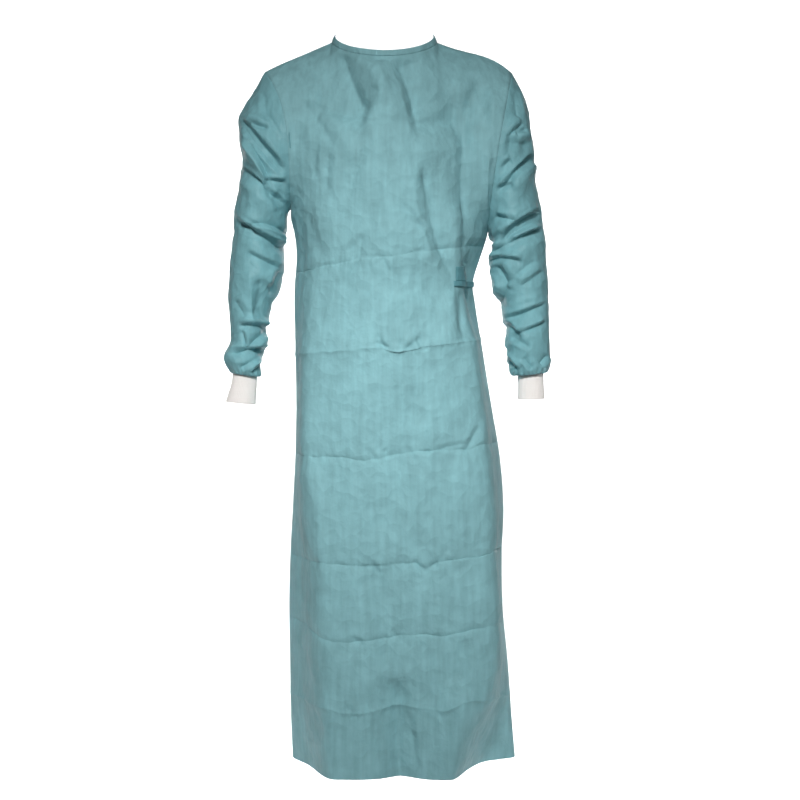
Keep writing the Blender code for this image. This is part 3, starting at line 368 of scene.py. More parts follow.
def spline(knots, values, at, end_slopes=None):
    """A smooth curve through values at rising knots, for a whole array of places."""
    knots = np.asarray(knots, dtype=float)
    at = np.clip(np.asarray(at, dtype=float), knots[0], knots[-1])
    values = np.array([np.broadcast_to(value, at.shape) for value in values])
    gaps = (knots[1:] - knots[:-1]).reshape((-1,) + (1,) * at.ndim)
    steps = (values[1:] - values[:-1]) / gaps
    slopes = np.empty_like(values)
    slopes[1:-1] = (values[2:] - values[:-2]) / (gaps[1:] + gaps[:-1])
    slopes[0], slopes[-1] = (steps[0], steps[-1]) if end_slopes is None else end_slopes
    i = np.clip(np.searchsorted(knots, at, side="left") - 1, 0, len(knots) - 2)

    def pick(table, index):
        return np.take_along_axis(table, index[None], 0)[0]

    step = knots[i + 1] - knots[i]
    t = (at - knots[i]) / step
    return ((2 * t ** 3 - 3 * t ** 2 + 1) * pick(values, i)
            + (t ** 3 - 2 * t ** 2 + t) * step * pick(slopes, i)
            + (3 * t ** 2 - 2 * t ** 3) * pick(values, i + 1)
            + (t ** 3 - t ** 2) * step * pick(slopes, i + 1))


def stack(x, y, z):
    """Points from arrays of their coordinates."""
    return np.stack(np.broadcast_arrays(x, y, z), axis=-1).astype(float)


def unit(vectors):
    """The same vectors with length 1."""
    return vectors / np.maximum(np.linalg.norm(vectors, axis=-1, keepdims=True), 1e-12)


def fold_offset(table, gain, x, z):
    """How far folds move the cloth outwards at places in the front view."""
    total = np.zeros_like(x)
    for fold in table:
        x1, z1, x2, z2, bow, width, depth = (value * MM for value in fold[:7])
        length = math.hypot(x2 - x1, z2 - z1)
        along_x, along_z = (x2 - x1) / length, (z2 - z1) / length
        along = ((x - x1) * along_x + (z - z1) * along_z) / length
        beside = (z - z1) * along_x - (x - x1) * along_z - bow * 4.0 * along * (1.0 - along)
        fade = smooth(along / FOLD_ENDS) * smooth((1.0 - along) / FOLD_ENDS)
        lip_beside = beside - math.copysign(LIP_DISTANCE * width, fold.lip)
        if fold.lip:
            beside = beside / np.where(beside * fold.lip > 0.0, STEEP, GENTLE)
        trough = np.exp(-np.abs(beside / width) ** gain.crisp)
        ridge = abs(fold.lip) * np.exp(-np.abs(lip_beside / width) ** gain.crisp)
        total += depth * fade * (ridge - trough)
    return gain.depth * total


def smooth_noise(points, sizes, seed):
    """Noise of about -1 to 1 with a wavelength (m) along each axis, from a fixed seed."""
    flat = (points / np.asarray(sizes)).reshape(-1, 3) + seed
    values = [noise.noise(place) for place in flat.tolist()]
    return np.array(values).reshape(points.shape[:-1])


def rumpled(points, rumples):
    """The sum of several rumples, as a multiple of the rumple depth."""
    total = 0.0
    for rumple in rumples:
        waves = smooth_noise(points, rumple.sizes, rumple.seed)
        total = total + rumple.share * (np.abs(waves) if rumple.sharp else waves)
    return total


# ------------------------------------------------------------------ the body's surface
def section(half, across, height):
    """x and y of the body's horizontal section at a height."""
    size = Section(*(spline(SECTIONS.height, values, height) for values in SECTIONS))
    right, left = size.side_right, size.side_left
    middle = (right + left) / 2.0
    if half == FRONT:
        corner_right, corner_left = size.corner_right, size.corner_left
        depth, corner_y = size.front, size.front + size.setback
        tuck_right, tuck_left = size.tuck_right, size.tuck_left
    else:
        corner_right = lerp(middle, right, BACK_CORNER)
        corner_left = lerp(middle, left, BACK_CORNER)
        depth, corner_y = size.back, size.back - size.setback
        tuck_right = tuck_left = 0.0
    flank_y = lerp(SIDE_DEPTH, corner_y, FLANK_BACK)
    xs = (right, lerp(corner_right, right, FLANK_OUT) + tuck_right, corner_right, middle,
          corner_left, lerp(corner_left, left, FLANK_OUT) - tuck_left, left)
    ys = (SIDE_DEPTH, flank_y - half * tuck_right * FLANK_TUCK, corner_y, depth,
          corner_y, flank_y - half * tuck_left * FLANK_TUCK, SIDE_DEPTH)
    rise = (flank_y - SIDE_DEPTH) / ACROSS_KNOTS[1]
    return (spline(ACROSS_KNOTS, xs, across, (0.0, 0.0)),
            spline(ACROSS_KNOTS, ys, across, (rise, -rise)))


def ring_point(half, across, level):
    """Points of the tube below the armpits."""
    heights = np.array([ring.height for ring in RINGS])
    tilts = np.array([ring.tilt for ring in RINGS])
    lower = np.clip(level.astype(int), 0, len(RINGS) - 2)
    part = level - lower
    height = lerp(heights[lower], heights[lower + 1], part)
    tilt = lerp(tilts[lower], tilts[lower + 1], smooth(part))
    x, y = section(half, across, height)
    x, y = section(half, across, height + tilt * x)
    return stack(x, y, height + tilt * x)


def armhole_point(side, half, up):
    """Points of an armhole's edge, from the armpit (up = 0) to the shoulder (up = 1)."""
    across, shoulder, flare = ((0.0, SHOULDER_RIGHT, FLARE_RIGHT) if side == RIGHT
                               else (1.0, SHOULDER_LEFT, FLARE_LEFT))
    armpit = ring_point(half, np.full((1,), across), np.full((1,), ARMPIT))[0]
    rise = lerp((1.0 - np.cos(math.pi * up)) / 2.0, up, ARMHOLE_STRAIGHTNESS)
    return stack(lerp(armpit[0], shoulder[0], rise ** flare),
                 lerp(armpit[1], shoulder[1], rise)
                 + half * ARMHOLE_DEPTH * np.sin(math.pi * up),
                 lerp(armpit[2], shoulder[2], rise))


def neckline_point(half, part):
    """Points of the neckline, from its right end (0) to its left end (1)."""
    turn = math.pi * part
    reach, drop = (NECK_FRONT, NECK_FRONT_DROP) if half == FRONT else (NECK_BACK, NECK_BACK_DROP)
    bulge = np.maximum(np.sin(turn), 0.0)
    return stack(NECK_CENTRE - NECK_HALF_WIDTH * np.cos(turn), half * reach * bulge,
                 -drop * bulge ** NECK_ROUNDNESS)


def top_point(half, across):
    """Points of the panels' upper edge: shoulder seam, neckline, shoulder seam."""
    points = neckline_point(half, np.clip((across - NECK_START) / (NECK_END - NECK_START), 0, 1))
    for away, shoulder, hump in ((across / NECK_START, SHOULDER_RIGHT, HUMP_RIGHT),
                                 ((1.0 - across) / (1.0 - NECK_END), SHOULDER_LEFT, HUMP_LEFT)):
        part = np.clip(away, 0.0, 1.0)
        raised = hump * np.sin(math.pi * (1.0 - part) ** 2)
        seam = np.array(shoulder) + (points - np.array(shoulder)) * part[..., None]
        seam[..., 2] += raised
        points = np.where((away < 1.0)[..., None], seam, points)
    return points


def yoke_point(half, across, up):
    """Points of the yoke, which rounds over the shoulder and meets the armholes' edges."""
    near_neck = np.sin(math.pi * across) ** 2
    roundness = lerp(YOKE_ROUND_SHOULDER, YOKE_ROUND_NECK, near_neck)
    rises = stack(up ** YOKE_FLARE, 1.0 - (1.0 - up ** YOKE_POWER) ** (1.0 / roundness), up)

    def between(place):
        bottom = ring_point(half, place, np.full_like(place, ARMPIT))
        return bottom + (top_point(half, place) - bottom) * rises

    points = between(across)
    for side, edge, away in ((RIGHT, 0.0, across), (LEFT, 1.0, 1.0 - across)):
        near_edge = np.maximum(0.0, 1.0 - away / ARMHOLE_SPREAD) ** 2
        points = points + ((armhole_point(side, half, up) - between(np.full_like(across, edge)))
                           * near_edge[..., None])
    return points


def surface_point(half, across, level):
    """Points of the body's smooth surface, without folds."""
    across = np.clip(across, 0.0, 1.0)
    tube = ring_point(half, across, np.clip(level, 0.0, ARMPIT))
    yoke = yoke_point(half, across, np.clip(level - ARMPIT, 0.0, 1.0))
    return np.where((level <= ARMPIT)[..., None], tube, yoke)


def surface_normal(half, across, level, step=0.004):
    """The outward direction of the body's surface."""
    sideways = (surface_point(half, np.clip(across + step, 0, 1), level)
                - surface_point(half, np.clip(across - step, 0, 1), level))
    up = (surface_point(half, across, np.clip(level + step, 0, TOP))
          - surface_point(half, across, np.clip(level - step, 0, TOP)))
    return unit(np.cross(sideways, up) * -half)


def crease_lines(half, across, level):
    """How far the packing creases move the rows up, and the cloth outwards.

    The sines make them uneven; their rates are in radians across a panel.
    """
    shift, offset = np.zeros_like(level), np.zeros_like(level)
    backwards = across if half == FRONT else 1.0 - across
    for number, (depth, *trace) in CREASES.items():
        above = RINGS[number + 1].height - RINGS[number].height
        below = RINGS[number].height - RINGS[number - 1].height
        gap = np.where(level >= number, above, below)
        away = (level - number) * gap
        places, heights = zip(*trace)
        height = np.interp(backwards, places, heights) * MM
        height += CREASE_WANDER * np.sin(backwards * 97.0 + number) * np.sin(backwards * 41.0)
        shift += height / gap * (1.0 - smooth(np.abs(away) / CREASE_REACH))
        near = np.exp(-np.abs(away) / CREASE_WIDTH)
        wave = np.sin(backwards * 61.0 + number * 2.1) * np.sin(backwards * 23.0 + number)
        offset += CREASE_GAIN * depth * MM * near * (1.0 + 0.45 * wave)
        roof = np.maximum(0.0, 1.0 - np.abs(away) / FOLD_REACH)
        offset += RINGS[number].fold * roof
        pucker = np.sin(backwards * 390.0 + number * 1.7 + 5.0 * np.sin(backwards * 31.0))
        pucker *= np.maximum(0.0, np.sin(backwards * 13.0 + number * 2.6))
        offset += PUCKER_HEIGHT * pucker * np.exp(-(away / PUCKER_REACH) ** 2)
    return shift, offset


def body_point(half, across, level, lift=0.0, settings=None):
    """Points of the cloth's inner face, with folds, creases and rumples, lifted outwards."""
    shift, creases = crease_lines(half, across, level)
    level = np.clip(level + shift, 0.0, TOP)
    points = surface_point(half, across, level)
    if level.ndim == 2 and level.shape[0] > YOKE_STEPS:
        points = softened(points, level)
    x, z = points[..., 0], points[..., 2]
    broad, fine = (FRONT_FOLDS, FRONT_CREASES) if half == FRONT else (BACK_FOLDS, BACK_CREASES)
    offset = (creases + fold_offset(broad, BODY_BROAD, x, z)
              + fold_offset(fine, BODY_FINE, x, z))
    if settings is not None:
        offset = offset + settings.rumple_depth * rumpled(points, BODY_RUMPLES)
    calm = smooth(np.minimum(across, 1.0 - across) / SEAM_CALM)
    top_calm = 1.0 - TOP_CALM * smooth((level - TOP + TOP_FADE) / TOP_FADE)
    points = points + surface_normal(half, across, level) * (
        offset * calm * top_calm + lift)[..., None]
    points[..., 1] += half * SEAM / 2.0
    return points


def softened(points, level):
    """Evens a grid of points across each row of the yoke, more the lower it lies."""
    reach = smooth((TOP - level) * 3.0) * smooth((level - ARMPIT) * 8.0) * 0.5
    for _ in range(SOFTENING_PASSES):
        beside = (points[:, :-2] + points[:, 2:]) / 2.0
        points[:, 1:-1] += (beside - points[:, 1:-1]) * reach[:, 1:-1, None]
    return points


def crowded(count):
    """Places from 0 to 1 that lie closer together near both ends."""
    even = np.arange(count) / count
    return even - ROW_CROWDING * np.sin(2.0 * math.pi * even) / (2.0 * math.pi)


def columns(half, start, end, count):
    """Places across a panel for its columns of mesh, twice as close on the flat of the body."""
    places = np.linspace(start, end, COLUMN_SAMPLES)
    points = surface_point(half, places, np.full_like(places, COLUMN_LEVEL))
    step = np.linalg.norm(points[1:] - points[:-1], axis=1)
    flat = np.abs(points[1:, 0] - points[:-1, 0]) / step
    length = np.concatenate([[0.0], np.cumsum(step * (1.0 + flat ** 2))])
    return np.interp(np.linspace(0.0, length[-1], count + 1), length, places)


def body_levels():
    """The levels of the rows of mesh, hem to shoulders, closest at the packing folds."""
    rows = [number + crowded(ring.steps) for number, ring in enumerate(RINGS[:-1])]
    yoke = 1.0 - (1.0 - np.arange(YOKE_STEPS + 1) / YOKE_STEPS) ** YOKE_CROWDING
    return np.concatenate(rows + [ARMPIT + yoke])


def over_lift(across):
    """How far the outer back panel stands off where it laps over the inner one."""
    return LAP * ramp(across, LAP_RISE)


def panel_points(half, start, end, lift, settings):
    """A grid of points for a panel from one place across its half to another."""
    across = columns(half, start, end, round(settings.across_cells * (end - start)))
    across, level = np.meshgrid(across, body_levels())
    return body_point(half, across, level, lift(across) + CLOTH_LIFT, settings)


def strip_on_body(half, across, heights, lift, settings):
    """Rows of points on one half of the body, at heights and at places across it."""
    across, height = np.meshgrid(across, heights)
    low, high = np.full_like(across, RINGS_BELOW_WAIST), np.full_like(across, ARMPIT)
    for _ in range(HALVINGS):
        middle = (low + high) / 2.0
        below = surface_point(half, across, middle)[..., 2] < height
        low, high = np.where(below, middle, low), np.where(below, high, middle)
    return body_point(half, across, low, lift, settings)


# ------------------------------------------------------------------ sleeves and cuffs
def oval_point(rows, place, turn):
    """Points of plain oval rings: turn 0 is the inner side, pi the outer, pi / 2 the front."""
    knots = np.arange(len(rows))
    ring = TubeRing(*(spline(knots, values, place) for values in zip(*rows)))
    reach = (1.0 - np.cos(turn)) / 2.0
    return stack(lerp(ring.inner_x, ring.outer_x, reach),
                 ring.middle_y - ring.half_depth * np.sin(turn),
                 lerp(ring.inner_z, ring.outer_z, reach))


def sleeve_smooth_point(side, rows, place, turn):
    """Points of a sleeve without folds, starting along the armhole's edge."""
    points = oval_point(rows, place, turn)
    turn = turn % (2.0 * math.pi)
    start = oval_point(rows, np.zeros_like(place), turn)
    blend = (np.maximum(0.0, 1.0 - place / ARMHOLE_BLEND) ** 2)[..., None]
    for half, up, here in ((FRONT, turn / math.pi, turn <= math.pi),
                           (BACK, 2.0 - turn / math.pi, turn > math.pi)):
        edge = armhole_point(side, half, np.clip(up, 0.0, 1.0))
        edge[..., 0] += side * (ARMHOLE_GAP + ARMHOLE_GAP_SWING * np.cos(turn))
        edge[..., 1] += half * SEAM / 2.0
        points = np.where(here[..., None], points + (edge - start) * blend, points)
    return points


def mirrored(table):
    """The same folds on the other side of the gown."""
    return tuple(fold._replace(x1=-fold.x1, x2=-fold.x2, bow=-fold.bow, lip=-fold.lip)
                 for fold in table)


def sleeve_point(side, place, turn, lift, settings):
    """Points of a sleeve's inner face with its folds, lifted outwards."""
    tables = [(SLEEVE_RIGHT_RINGS, SLEEVE_RIGHT_FOLDS, SLEEVE_RIGHT_CREASES),
              (SLEEVE_LEFT_RINGS, SLEEVE_LEFT_FOLDS, SLEEVE_LEFT_CREASES)]
    (rows, broad, fine), (_, other_broad, other_fine) = tables[::-int(side)]
    points = sleeve_smooth_point(side, rows, place, turn)
    last = len(rows) - 1
    around = (sleeve_smooth_point(side, rows, place, turn + 0.02)
              - sleeve_smooth_point(side, rows, place, turn - 0.02))
    along = (sleeve_smooth_point(side, rows, np.minimum(place + 0.06, last), turn)
             - sleeve_smooth_point(side, rows, np.maximum(place - 0.06, 0.0), turn))
    outward = unit(np.cross(around, along) * -side)
    x, z = points[..., 0], points[..., 2]
    front_part = smooth((np.sin(turn) + FOLD_WRAP) / (2.0 * FOLD_WRAP))
    offset = lerp(fold_offset(mirrored(other_broad), HIDDEN_BROAD, x, z)
                  + fold_offset(mirrored(other_fine), HIDDEN_FINE, x, z),
                  fold_offset(broad, SLEEVE_BROAD, x, z) + fold_offset(fine, SLEEVE_FINE, x, z),
                  front_part)
    calm = ramp(place, ARMHOLE_CALM) * ramp(last - place, CUFF_CALM)
    depth = settings.rumple_depth * (SEAM_RUMPLE + (1.0 - SEAM_RUMPLE) * calm)
    offset = DEEPEST * np.tanh(offset / DEEPEST)
    offset = offset * calm + depth * rumpled(points, SLEEVE_RUMPLES[side])
    gather = np.exp(-((last - place - GATHER_PLACE) / GATHER_REACH) ** 2)
    gather *= np.sin(turn * GATHERS + 1.5 * np.sin(turn * 4.0)) * ramp(last - place, (0.0, 0.5))
    return points + outward * (offset + GATHER_HEIGHT * gather + lift)[..., None]


# ------------------------------------------------------------------ meshes
def grid_mesh(name, points, closed=False, flipped=False):
    """An open surface through a grid of points, closed round each row if asked."""
    rows, count = points.shape[:2]
    index = np.arange(rows * count).reshape(rows, count)
    beside = np.roll(index, -1, axis=1)
    if not closed:
        index, beside = index[:, :-1], beside[:, :-1]
    faces = np.stack([index[:-1], beside[:-1], beside[1:], index[1:]], axis=-1).reshape(-1, 4)
    if flipped:
        faces = faces[:, ::-1]
    mesh = bpy.data.meshes.new(name)
    mesh.from_pydata(points.reshape(-1, 3).tolist(), [], faces.tolist())
    mesh.update()
    mesh.shade_smooth()
    return mesh


def new_object(name, mesh, material):
    """Puts a mesh into the scene with its material."""
    mesh.materials.append(material)
    item = bpy.data.objects.new(name, mesh)
    bpy.context.scene.collection.objects.link(item)
    return item


def cloth_piece(name, points, material, thickness, closed=False, flipped=False):
    """A sheet of cloth: an open surface, thickened outwards, that moves with the gown."""
    piece = new_object(name, grid_mesh(name, points, closed, flipped), material)
    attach(piece, "root")
    wall = piece.modifiers.new("cloth thickness", "SOLIDIFY")
    wall.thickness = thickness
    wall.offset = 1.0
    wall.use_even_offset = False
    return piece


# ------------------------------------------------------------------ materials
def linear(hex_colour):
    """An sRGB hex colour as linear RGBA."""
    parts = [int(hex_colour[i:i + 2], 16) / 255.0 for i in (1, 3, 5)]
    return [part / 12.92 if part <= 0.04045 else ((part + 0.055) / 1.055) ** 2.4
            for part in parts] + [1.0]


def add_node(material, kind, settings=None, **links):
    """Adds one shader node with its settings and what its inputs are linked to."""
    tree = material.node_tree
    node = tree.nodes.new(kind)
    for name, value in (settings or {}).items():
        if hasattr(node, name):
            setattr(node, name, value)
        else:
            node.inputs[name].default_value = value
    for name, source in links.items():
        tree.links.new(source, node.inputs[name.replace("_", " ")])
    return node


def shaded(name, colour, settings):
    """A new material whose principled shader has a colour and these settings."""
    material = bpy.data.materials.new(name)
    material.use_nodes = True
    shader = material.node_tree.nodes["Principled BSDF"]
    shader.inputs["Base Color"].default_value = colour
    for socket, value in settings.items():
        shader.inputs[socket].default_value = value
    return material, shader


def spunbond_nonwoven(name, colour, roughness, mottle):
    """Three-layer spunbond polypropylene, bonded by heat at small points and pressed flat.

    The eye sees a soft matt sheet with a faint silky sheen, slightly cloudy because the
    fibres lie unevenly, streaked along the roll's length, and finely crinkled from packing.
    """
    material, shader = shaded(name, colour, {
        "Roughness": roughness, "IOR": 1.49, "Specular IOR Level": 0.12,
        "Sheen Weight": 0.04, "Sheen Roughness": 0.4})
    place = add_node(material, "ShaderNodeTexCoord").outputs["Object"]
    # Fibre streaks run down the cloth: about 9 mm apart and 90 mm long.
    streaks_at = add_node(material, "ShaderNodeMapping", {"Scale": (110.0, 110.0, 11.0)},
                          Vector=place).outputs["Vector"]
    streaks = add_node(material, "ShaderNodeTexNoise", {"Scale": 1.0, "Detail": 4.0},
                       Vector=streaks_at).outputs["Fac"]
    # Where the fibres lie thicker the sheet is cloudy, in patches about 40 mm across.
    clouds = add_node(material, "ShaderNodeTexNoise",
                      {"Scale": 26.0, "Detail": 5.0, "Roughness": 0.6},
                      Vector=place).outputs["Fac"]
    cloudy = add_node(material, "ShaderNodeMath", {"operation": "ADD"}).outputs["Value"]
    tree = material.node_tree
    tree.links.new(streaks, cloudy.node.inputs[0])
    tree.links.new(clouds, cloudy.node.inputs[1])
    tint = add_node(material, "ShaderNodeValToRGB", Fac=add_node(
        material, "ShaderNodeMapRange",
        {"From Min": 0.70, "From Max": 1.30}, Value=cloudy).outputs["Result"])
    dark, light = tint.color_ramp.elements
    dark.color = [part * (1.0 - mottle) for part in colour[:3]] + [1.0]
    light.color = [min(1.0, part * (1.0 + mottle) + 0.012 * mottle) for part in colour[:3]] + [1.0]
    tree.links.new(tint.outputs["Color"], shader.inputs["Base Color"])
    # Bond points are 0.6 mm ovals 1.5 mm apart; drawn 3 mm apart so that they show at all.
    points = add_node(material, "ShaderNodeTexVoronoi", {"Scale": 330.0, "Randomness": 0.35},
                      Vector=place).outputs["Distance"]
    # Packing leaves crinkles about 10 mm apart, and flat facets about 24 mm across.
    crinkle = add_node(material, "ShaderNodeTexNoise",
                       {"Scale": 95.0, "Detail": 6.0, "Roughness": 0.62, "Distortion": 0.8},
                       Vector=place).outputs["Fac"]
    bent = add_node(material, "ShaderNodeVectorMath", {"operation": "MULTIPLY_ADD"})
    tree.links.new(add_node(material, "ShaderNodeTexNoise", {"Scale": 30.0, "Detail": 3.0},
                            Vector=place).outputs["Color"], bent.inputs[0])
    bent.inputs[1].default_value = (0.03, 0.03, 0.03)
    tree.links.new(place, bent.inputs[2])
    facets = add_node(material, "ShaderNodeTexVoronoi", {"Scale": 42.0},
                      Vector=bent.outputs["Vector"]).outputs["Distance"]
    relief = {}
    for height, strength, distance in ((facets, 0.42, 0.006), (points, 0.10, 0.0004),
                                       (crinkle, 0.35, 0.0016), (streaks, 0.22, 0.0016)):
        relief["Normal"] = add_node(material, "ShaderNodeBump",
                                    {"Strength": strength, "Distance": distance},
                                    Height=height, **relief).outputs["Normal"]
    tree.links.new(relief["Normal"], shader.inputs["Normal"])
    return material


def cotton_rib_knit(name, colour):
    """Rib-knitted cotton and polyester: soft, matt and fuzzy, with a fine ladder of stitches."""
    material, shader = shaded(name, colour, {
        "Roughness": 0.92, "IOR": 1.53, "Specular IOR Level": 0.25,
        "Sheen Weight": 0.5, "Sheen Roughness": 0.6})
    place = add_node(material, "ShaderNodeTexCoord").outputs["Object"]
    # Courses of stitches are 0.8 mm high; drawn 3.2 mm high so that they show at all. The
    # fuzz's fibres stand about 1.4 mm apart.
    rows = add_node(material, "ShaderNodeTexWave",
                    {"bands_direction": "Z", "Scale": 98.0, "Distortion": 2.5, "Detail": 2.0},
                    Vector=place).outputs["Fac"]
    fuzz = add_node(material, "ShaderNodeTexNoise", {"Scale": 700.0, "Detail": 3.0},
                    Vector=place).outputs["Fac"]
    tint = add_node(material, "ShaderNodeValToRGB", Fac=rows)
    dark, light = tint.color_ramp.elements
    dark.color = [part * 0.985 for part in colour[:3]] + [1.0]
    light.color = colour
    material.node_tree.links.new(tint.outputs["Color"], shader.inputs["Base Color"])
    stitched = add_node(material, "ShaderNodeBump", {"Strength": 0.12, "Distance": 0.0004},
                        Height=rows).outputs["Normal"]
    fuzzy = add_node(material, "ShaderNodeBump", {"Strength": 0.35, "Distance": 0.0003},
                     Height=fuzz, Normal=stitched).outputs["Normal"]
    material.node_tree.links.new(fuzzy, shader.inputs["Normal"])
    return material


def studio_paper(name, colour):
    """Matt white background paper: even, with a very slight grain."""
    material, shader = shaded(name, colour, {"Roughness": 0.95, "Specular IOR Level": 0.2})
    grain = add_node(material, "ShaderNodeTexNoise", {"Scale": 60.0, "Detail": 3.0}).outputs["Fac"]
    bump = add_node(material, "ShaderNodeBump", {"Strength": 0.05, "Distance": 0.001},
                    Height=grain)
    material.node_tree.links.new(bump.outputs["Normal"], shader.inputs["Normal"])
    return material


def finish(kind):
    """The gown's materials, each made once."""
    settings = bpy.context.scene.surgical_gown
    made = {
        "body": ("spunbond_nonwoven_body", spunbond_nonwoven, (settings.cloth_colour, 0.62, 0.12)),
        # The sleeves use the body's cloth darkened: the darker colour is painted shade for the
        # shade in the sleeves' folds, the cloth itself being the same.
        "sleeve": ("spunbond_nonwoven_sleeve", spunbond_nonwoven,
                   (settings.sleeve_colour_painted_shade, 0.44, 0.10)),
        "tie": ("folded_nonwoven_tape", spunbond_nonwoven, (settings.tie_colour, 0.60, 0.12)),
        "knit": ("cotton_rib_knit", cotton_rib_knit, (settings.knit_colour,)),
        "floor": ("background_paper", studio_paper, (settings.floor_colour,)),
    }
    name, maker, values = made[kind]
    found = bpy.data.materials.get(name)
    return found or maker(name, *[list(v) if hasattr(v, "__len__") else v for v in values])


# ------------------------------------------------------------------ what a user may change
def colour_property(name, description, hex_colour):
    """A colour that starts from an sRGB hex value."""
    return bpy.props.FloatVectorProperty(name=name, description=description, subtype="COLOR",
                                         size=4, min=0.0, max=1.0, default=linear(hex_colour))


class SurgicalGownSettings(bpy.types.PropertyGroup):
    """Sizes and colours of the gown."""
    thickness: bpy.props.FloatProperty(
        name="Cloth thickness", description="Thickness of the nonwoven's wall",
        default=0.0007, min=0.0002, max=0.0012, unit="LENGTH", precision=4)
    rumple_depth: bpy.props.FloatProperty(
        name="Rumple depth", description="Height of the small uneven rumples",
        default=0.0010, min=0.0, max=0.003, unit="LENGTH", precision=4)
    across_cells: bpy.props.IntProperty(
        name="Cells across", description="Columns of mesh across the front panel",
        default=130, min=20, max=140)
    sleeve_cells: bpy.props.IntProperty(
        name="Sleeve cells", description="Columns of mesh round a sleeve",
        default=180, min=24, max=180)
    cuff_ribs: bpy.props.IntProperty(
        name="Cuff ribs", description="Ribs round each knitted cuff", default=52, min=20, max=80)
    rib_height: bpy.props.FloatProperty(
        name="Rib height", description="Height of the cuff's ribs",
        default=0.0006, min=0.0, max=0.0015, unit="LENGTH", precision=4)
    cloth_colour: colour_property("Body cloth", "Colour of the front and back panels", "#80AFB5")
    # Painted shade: the sleeve colour is the body's cloth colour darkened to stand in for the
    # shade of the sleeves' folds.
    sleeve_colour_painted_shade: colour_property("Sleeve cloth with painted shade", "Colour of the sleeves", "#78ABB2")
    tie_colour: colour_property("Tie", "Colour of the waist tie and its patch", "#5B8E96")
    knit_colour: colour_property("Knit", "Colour of the knitted cuffs", "#F3EEEA")
    floor_colour: colour_property("Floor", "Colour of the studio floor", "#F6F6F6")


# ------------------------------------------------------------------ one operator a kind of piece
class GownOperator(bpy.types.Operator):
    """What all the gown's operators share."""
    bl_options = {"REGISTER", "UNDO"}

    def execute(self, context):
        self.build(context.scene.surgical_gown)
        return {"FINISHED"}


class SURGICALGOWN_OT_front(GownOperator):
    """Builds the front panel from side seam to side seam"""
    bl_idname = "surgical_gown.front"
    bl_label = "Front panel"

    def build(self, settings):
        points = panel_points(FRONT, 0.0, 1.0, np.zeros_like, settings)
        piece = cloth_piece("gown_front", points, finish("body"), settings.thickness)
        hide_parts("front_panel")


class SURGICALGOWN_OT_backs(GownOperator):
    """Builds the two back panels, the right one lapped over the left"""
    bl_idname = "surgical_gown.backs"
    bl_label = "Back panels"

    def build(self, settings):
        for name, node, start, end, lift in (
                ("gown_back_over", "back_panel_right_over", 0.0, OVER_END, over_lift),
                ("gown_back_under", "back_panel_left_under", UNDER_START, 1.0, np.zeros_like)):
            points = panel_points(BACK, start, end, lift, settings)
            piece = cloth_piece(name, points, finish("body"), settings.thickness, flipped=True)
            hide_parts(node)


class SURGICALGOWN_OT_sleeves(GownOperator):
    """Builds both sleeves with the folds of the bent cloth"""
    bl_idname = "surgical_gown.sleeves"
    bl_label = "Sleeves"

    def build(self, settings):
        for name, node, side in (("gown_sleeve_right", "sleeve_right", RIGHT),
                                 ("gown_sleeve_left", "sleeve_left", LEFT)):
            turn = np.arange(settings.sleeve_cells) * 2.0 * math.pi / settings.sleeve_cells
            turn = turn + FRONT_CROWDING * np.cos(turn)
            place = np.linspace(0.0, len(SLEEVE_RIGHT_RINGS) - 1.0, SLEEVE_ROWS)
            turn, place = np.meshgrid(turn, place)
            points = sleeve_point(side, place, turn, CLOTH_LIFT, settings)
            allowance = points[:1] - stack(side * SEAM_ALLOWANCE, TUCK * np.sign(points[:1, :, 1]),
                                           TUCK * np.maximum(0.0, -np.cos(turn[:1])))
            points = np.concatenate([allowance, points])
            piece = cloth_piece(name, points, finish("sleeve"), settings.thickness,
                                closed=True, flipped=side == LEFT)
            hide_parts(node)


class SURGICALGOWN_OT_cuffs(GownOperator):
    """Builds both rib-knitted cuffs"""
    bl_idname = "surgical_gown.cuffs"
    bl_label = "Knitted cuffs"

    def build(self, settings):
        for name, node, side, rows in (
                ("gown_cuff_right", "cuff_right", RIGHT, CUFF_RIGHT_RINGS),
                ("gown_cuff_left", "cuff_left", LEFT, CUFF_LEFT_RINGS)):
            count = settings.cuff_ribs * RIB_COLUMNS
            turn = np.arange(count) * 2.0 * math.pi / count
            turn, place = np.meshgrid(turn, np.linspace(0.0, len(rows) - 1.0, CUFF_ROWS))
            points = oval_point(rows, place, turn)
            inner, outer = (oval_point(rows, place, turn * 0 + end) for end in (0.0, math.pi))
            outward = unit(points - (inner + outer) / 2.0)
            rib = 0.5 + 0.5 * np.cos(turn * settings.cuff_ribs)
            waves = smooth_noise(points, (0.020, 0.020, 0.014), 5.0 + side)
            swell = settings.rib_height * rib + CUFF_WAVE * waves * ramp(place, (1.0, 2.2))
            points = points + outward * (swell - CUFF_WALL)[..., None]
            piece = cloth_piece(name, points, finish("knit"), CUFF_WALL, closed=True,
                                flipped=side == LEFT)
            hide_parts(node)


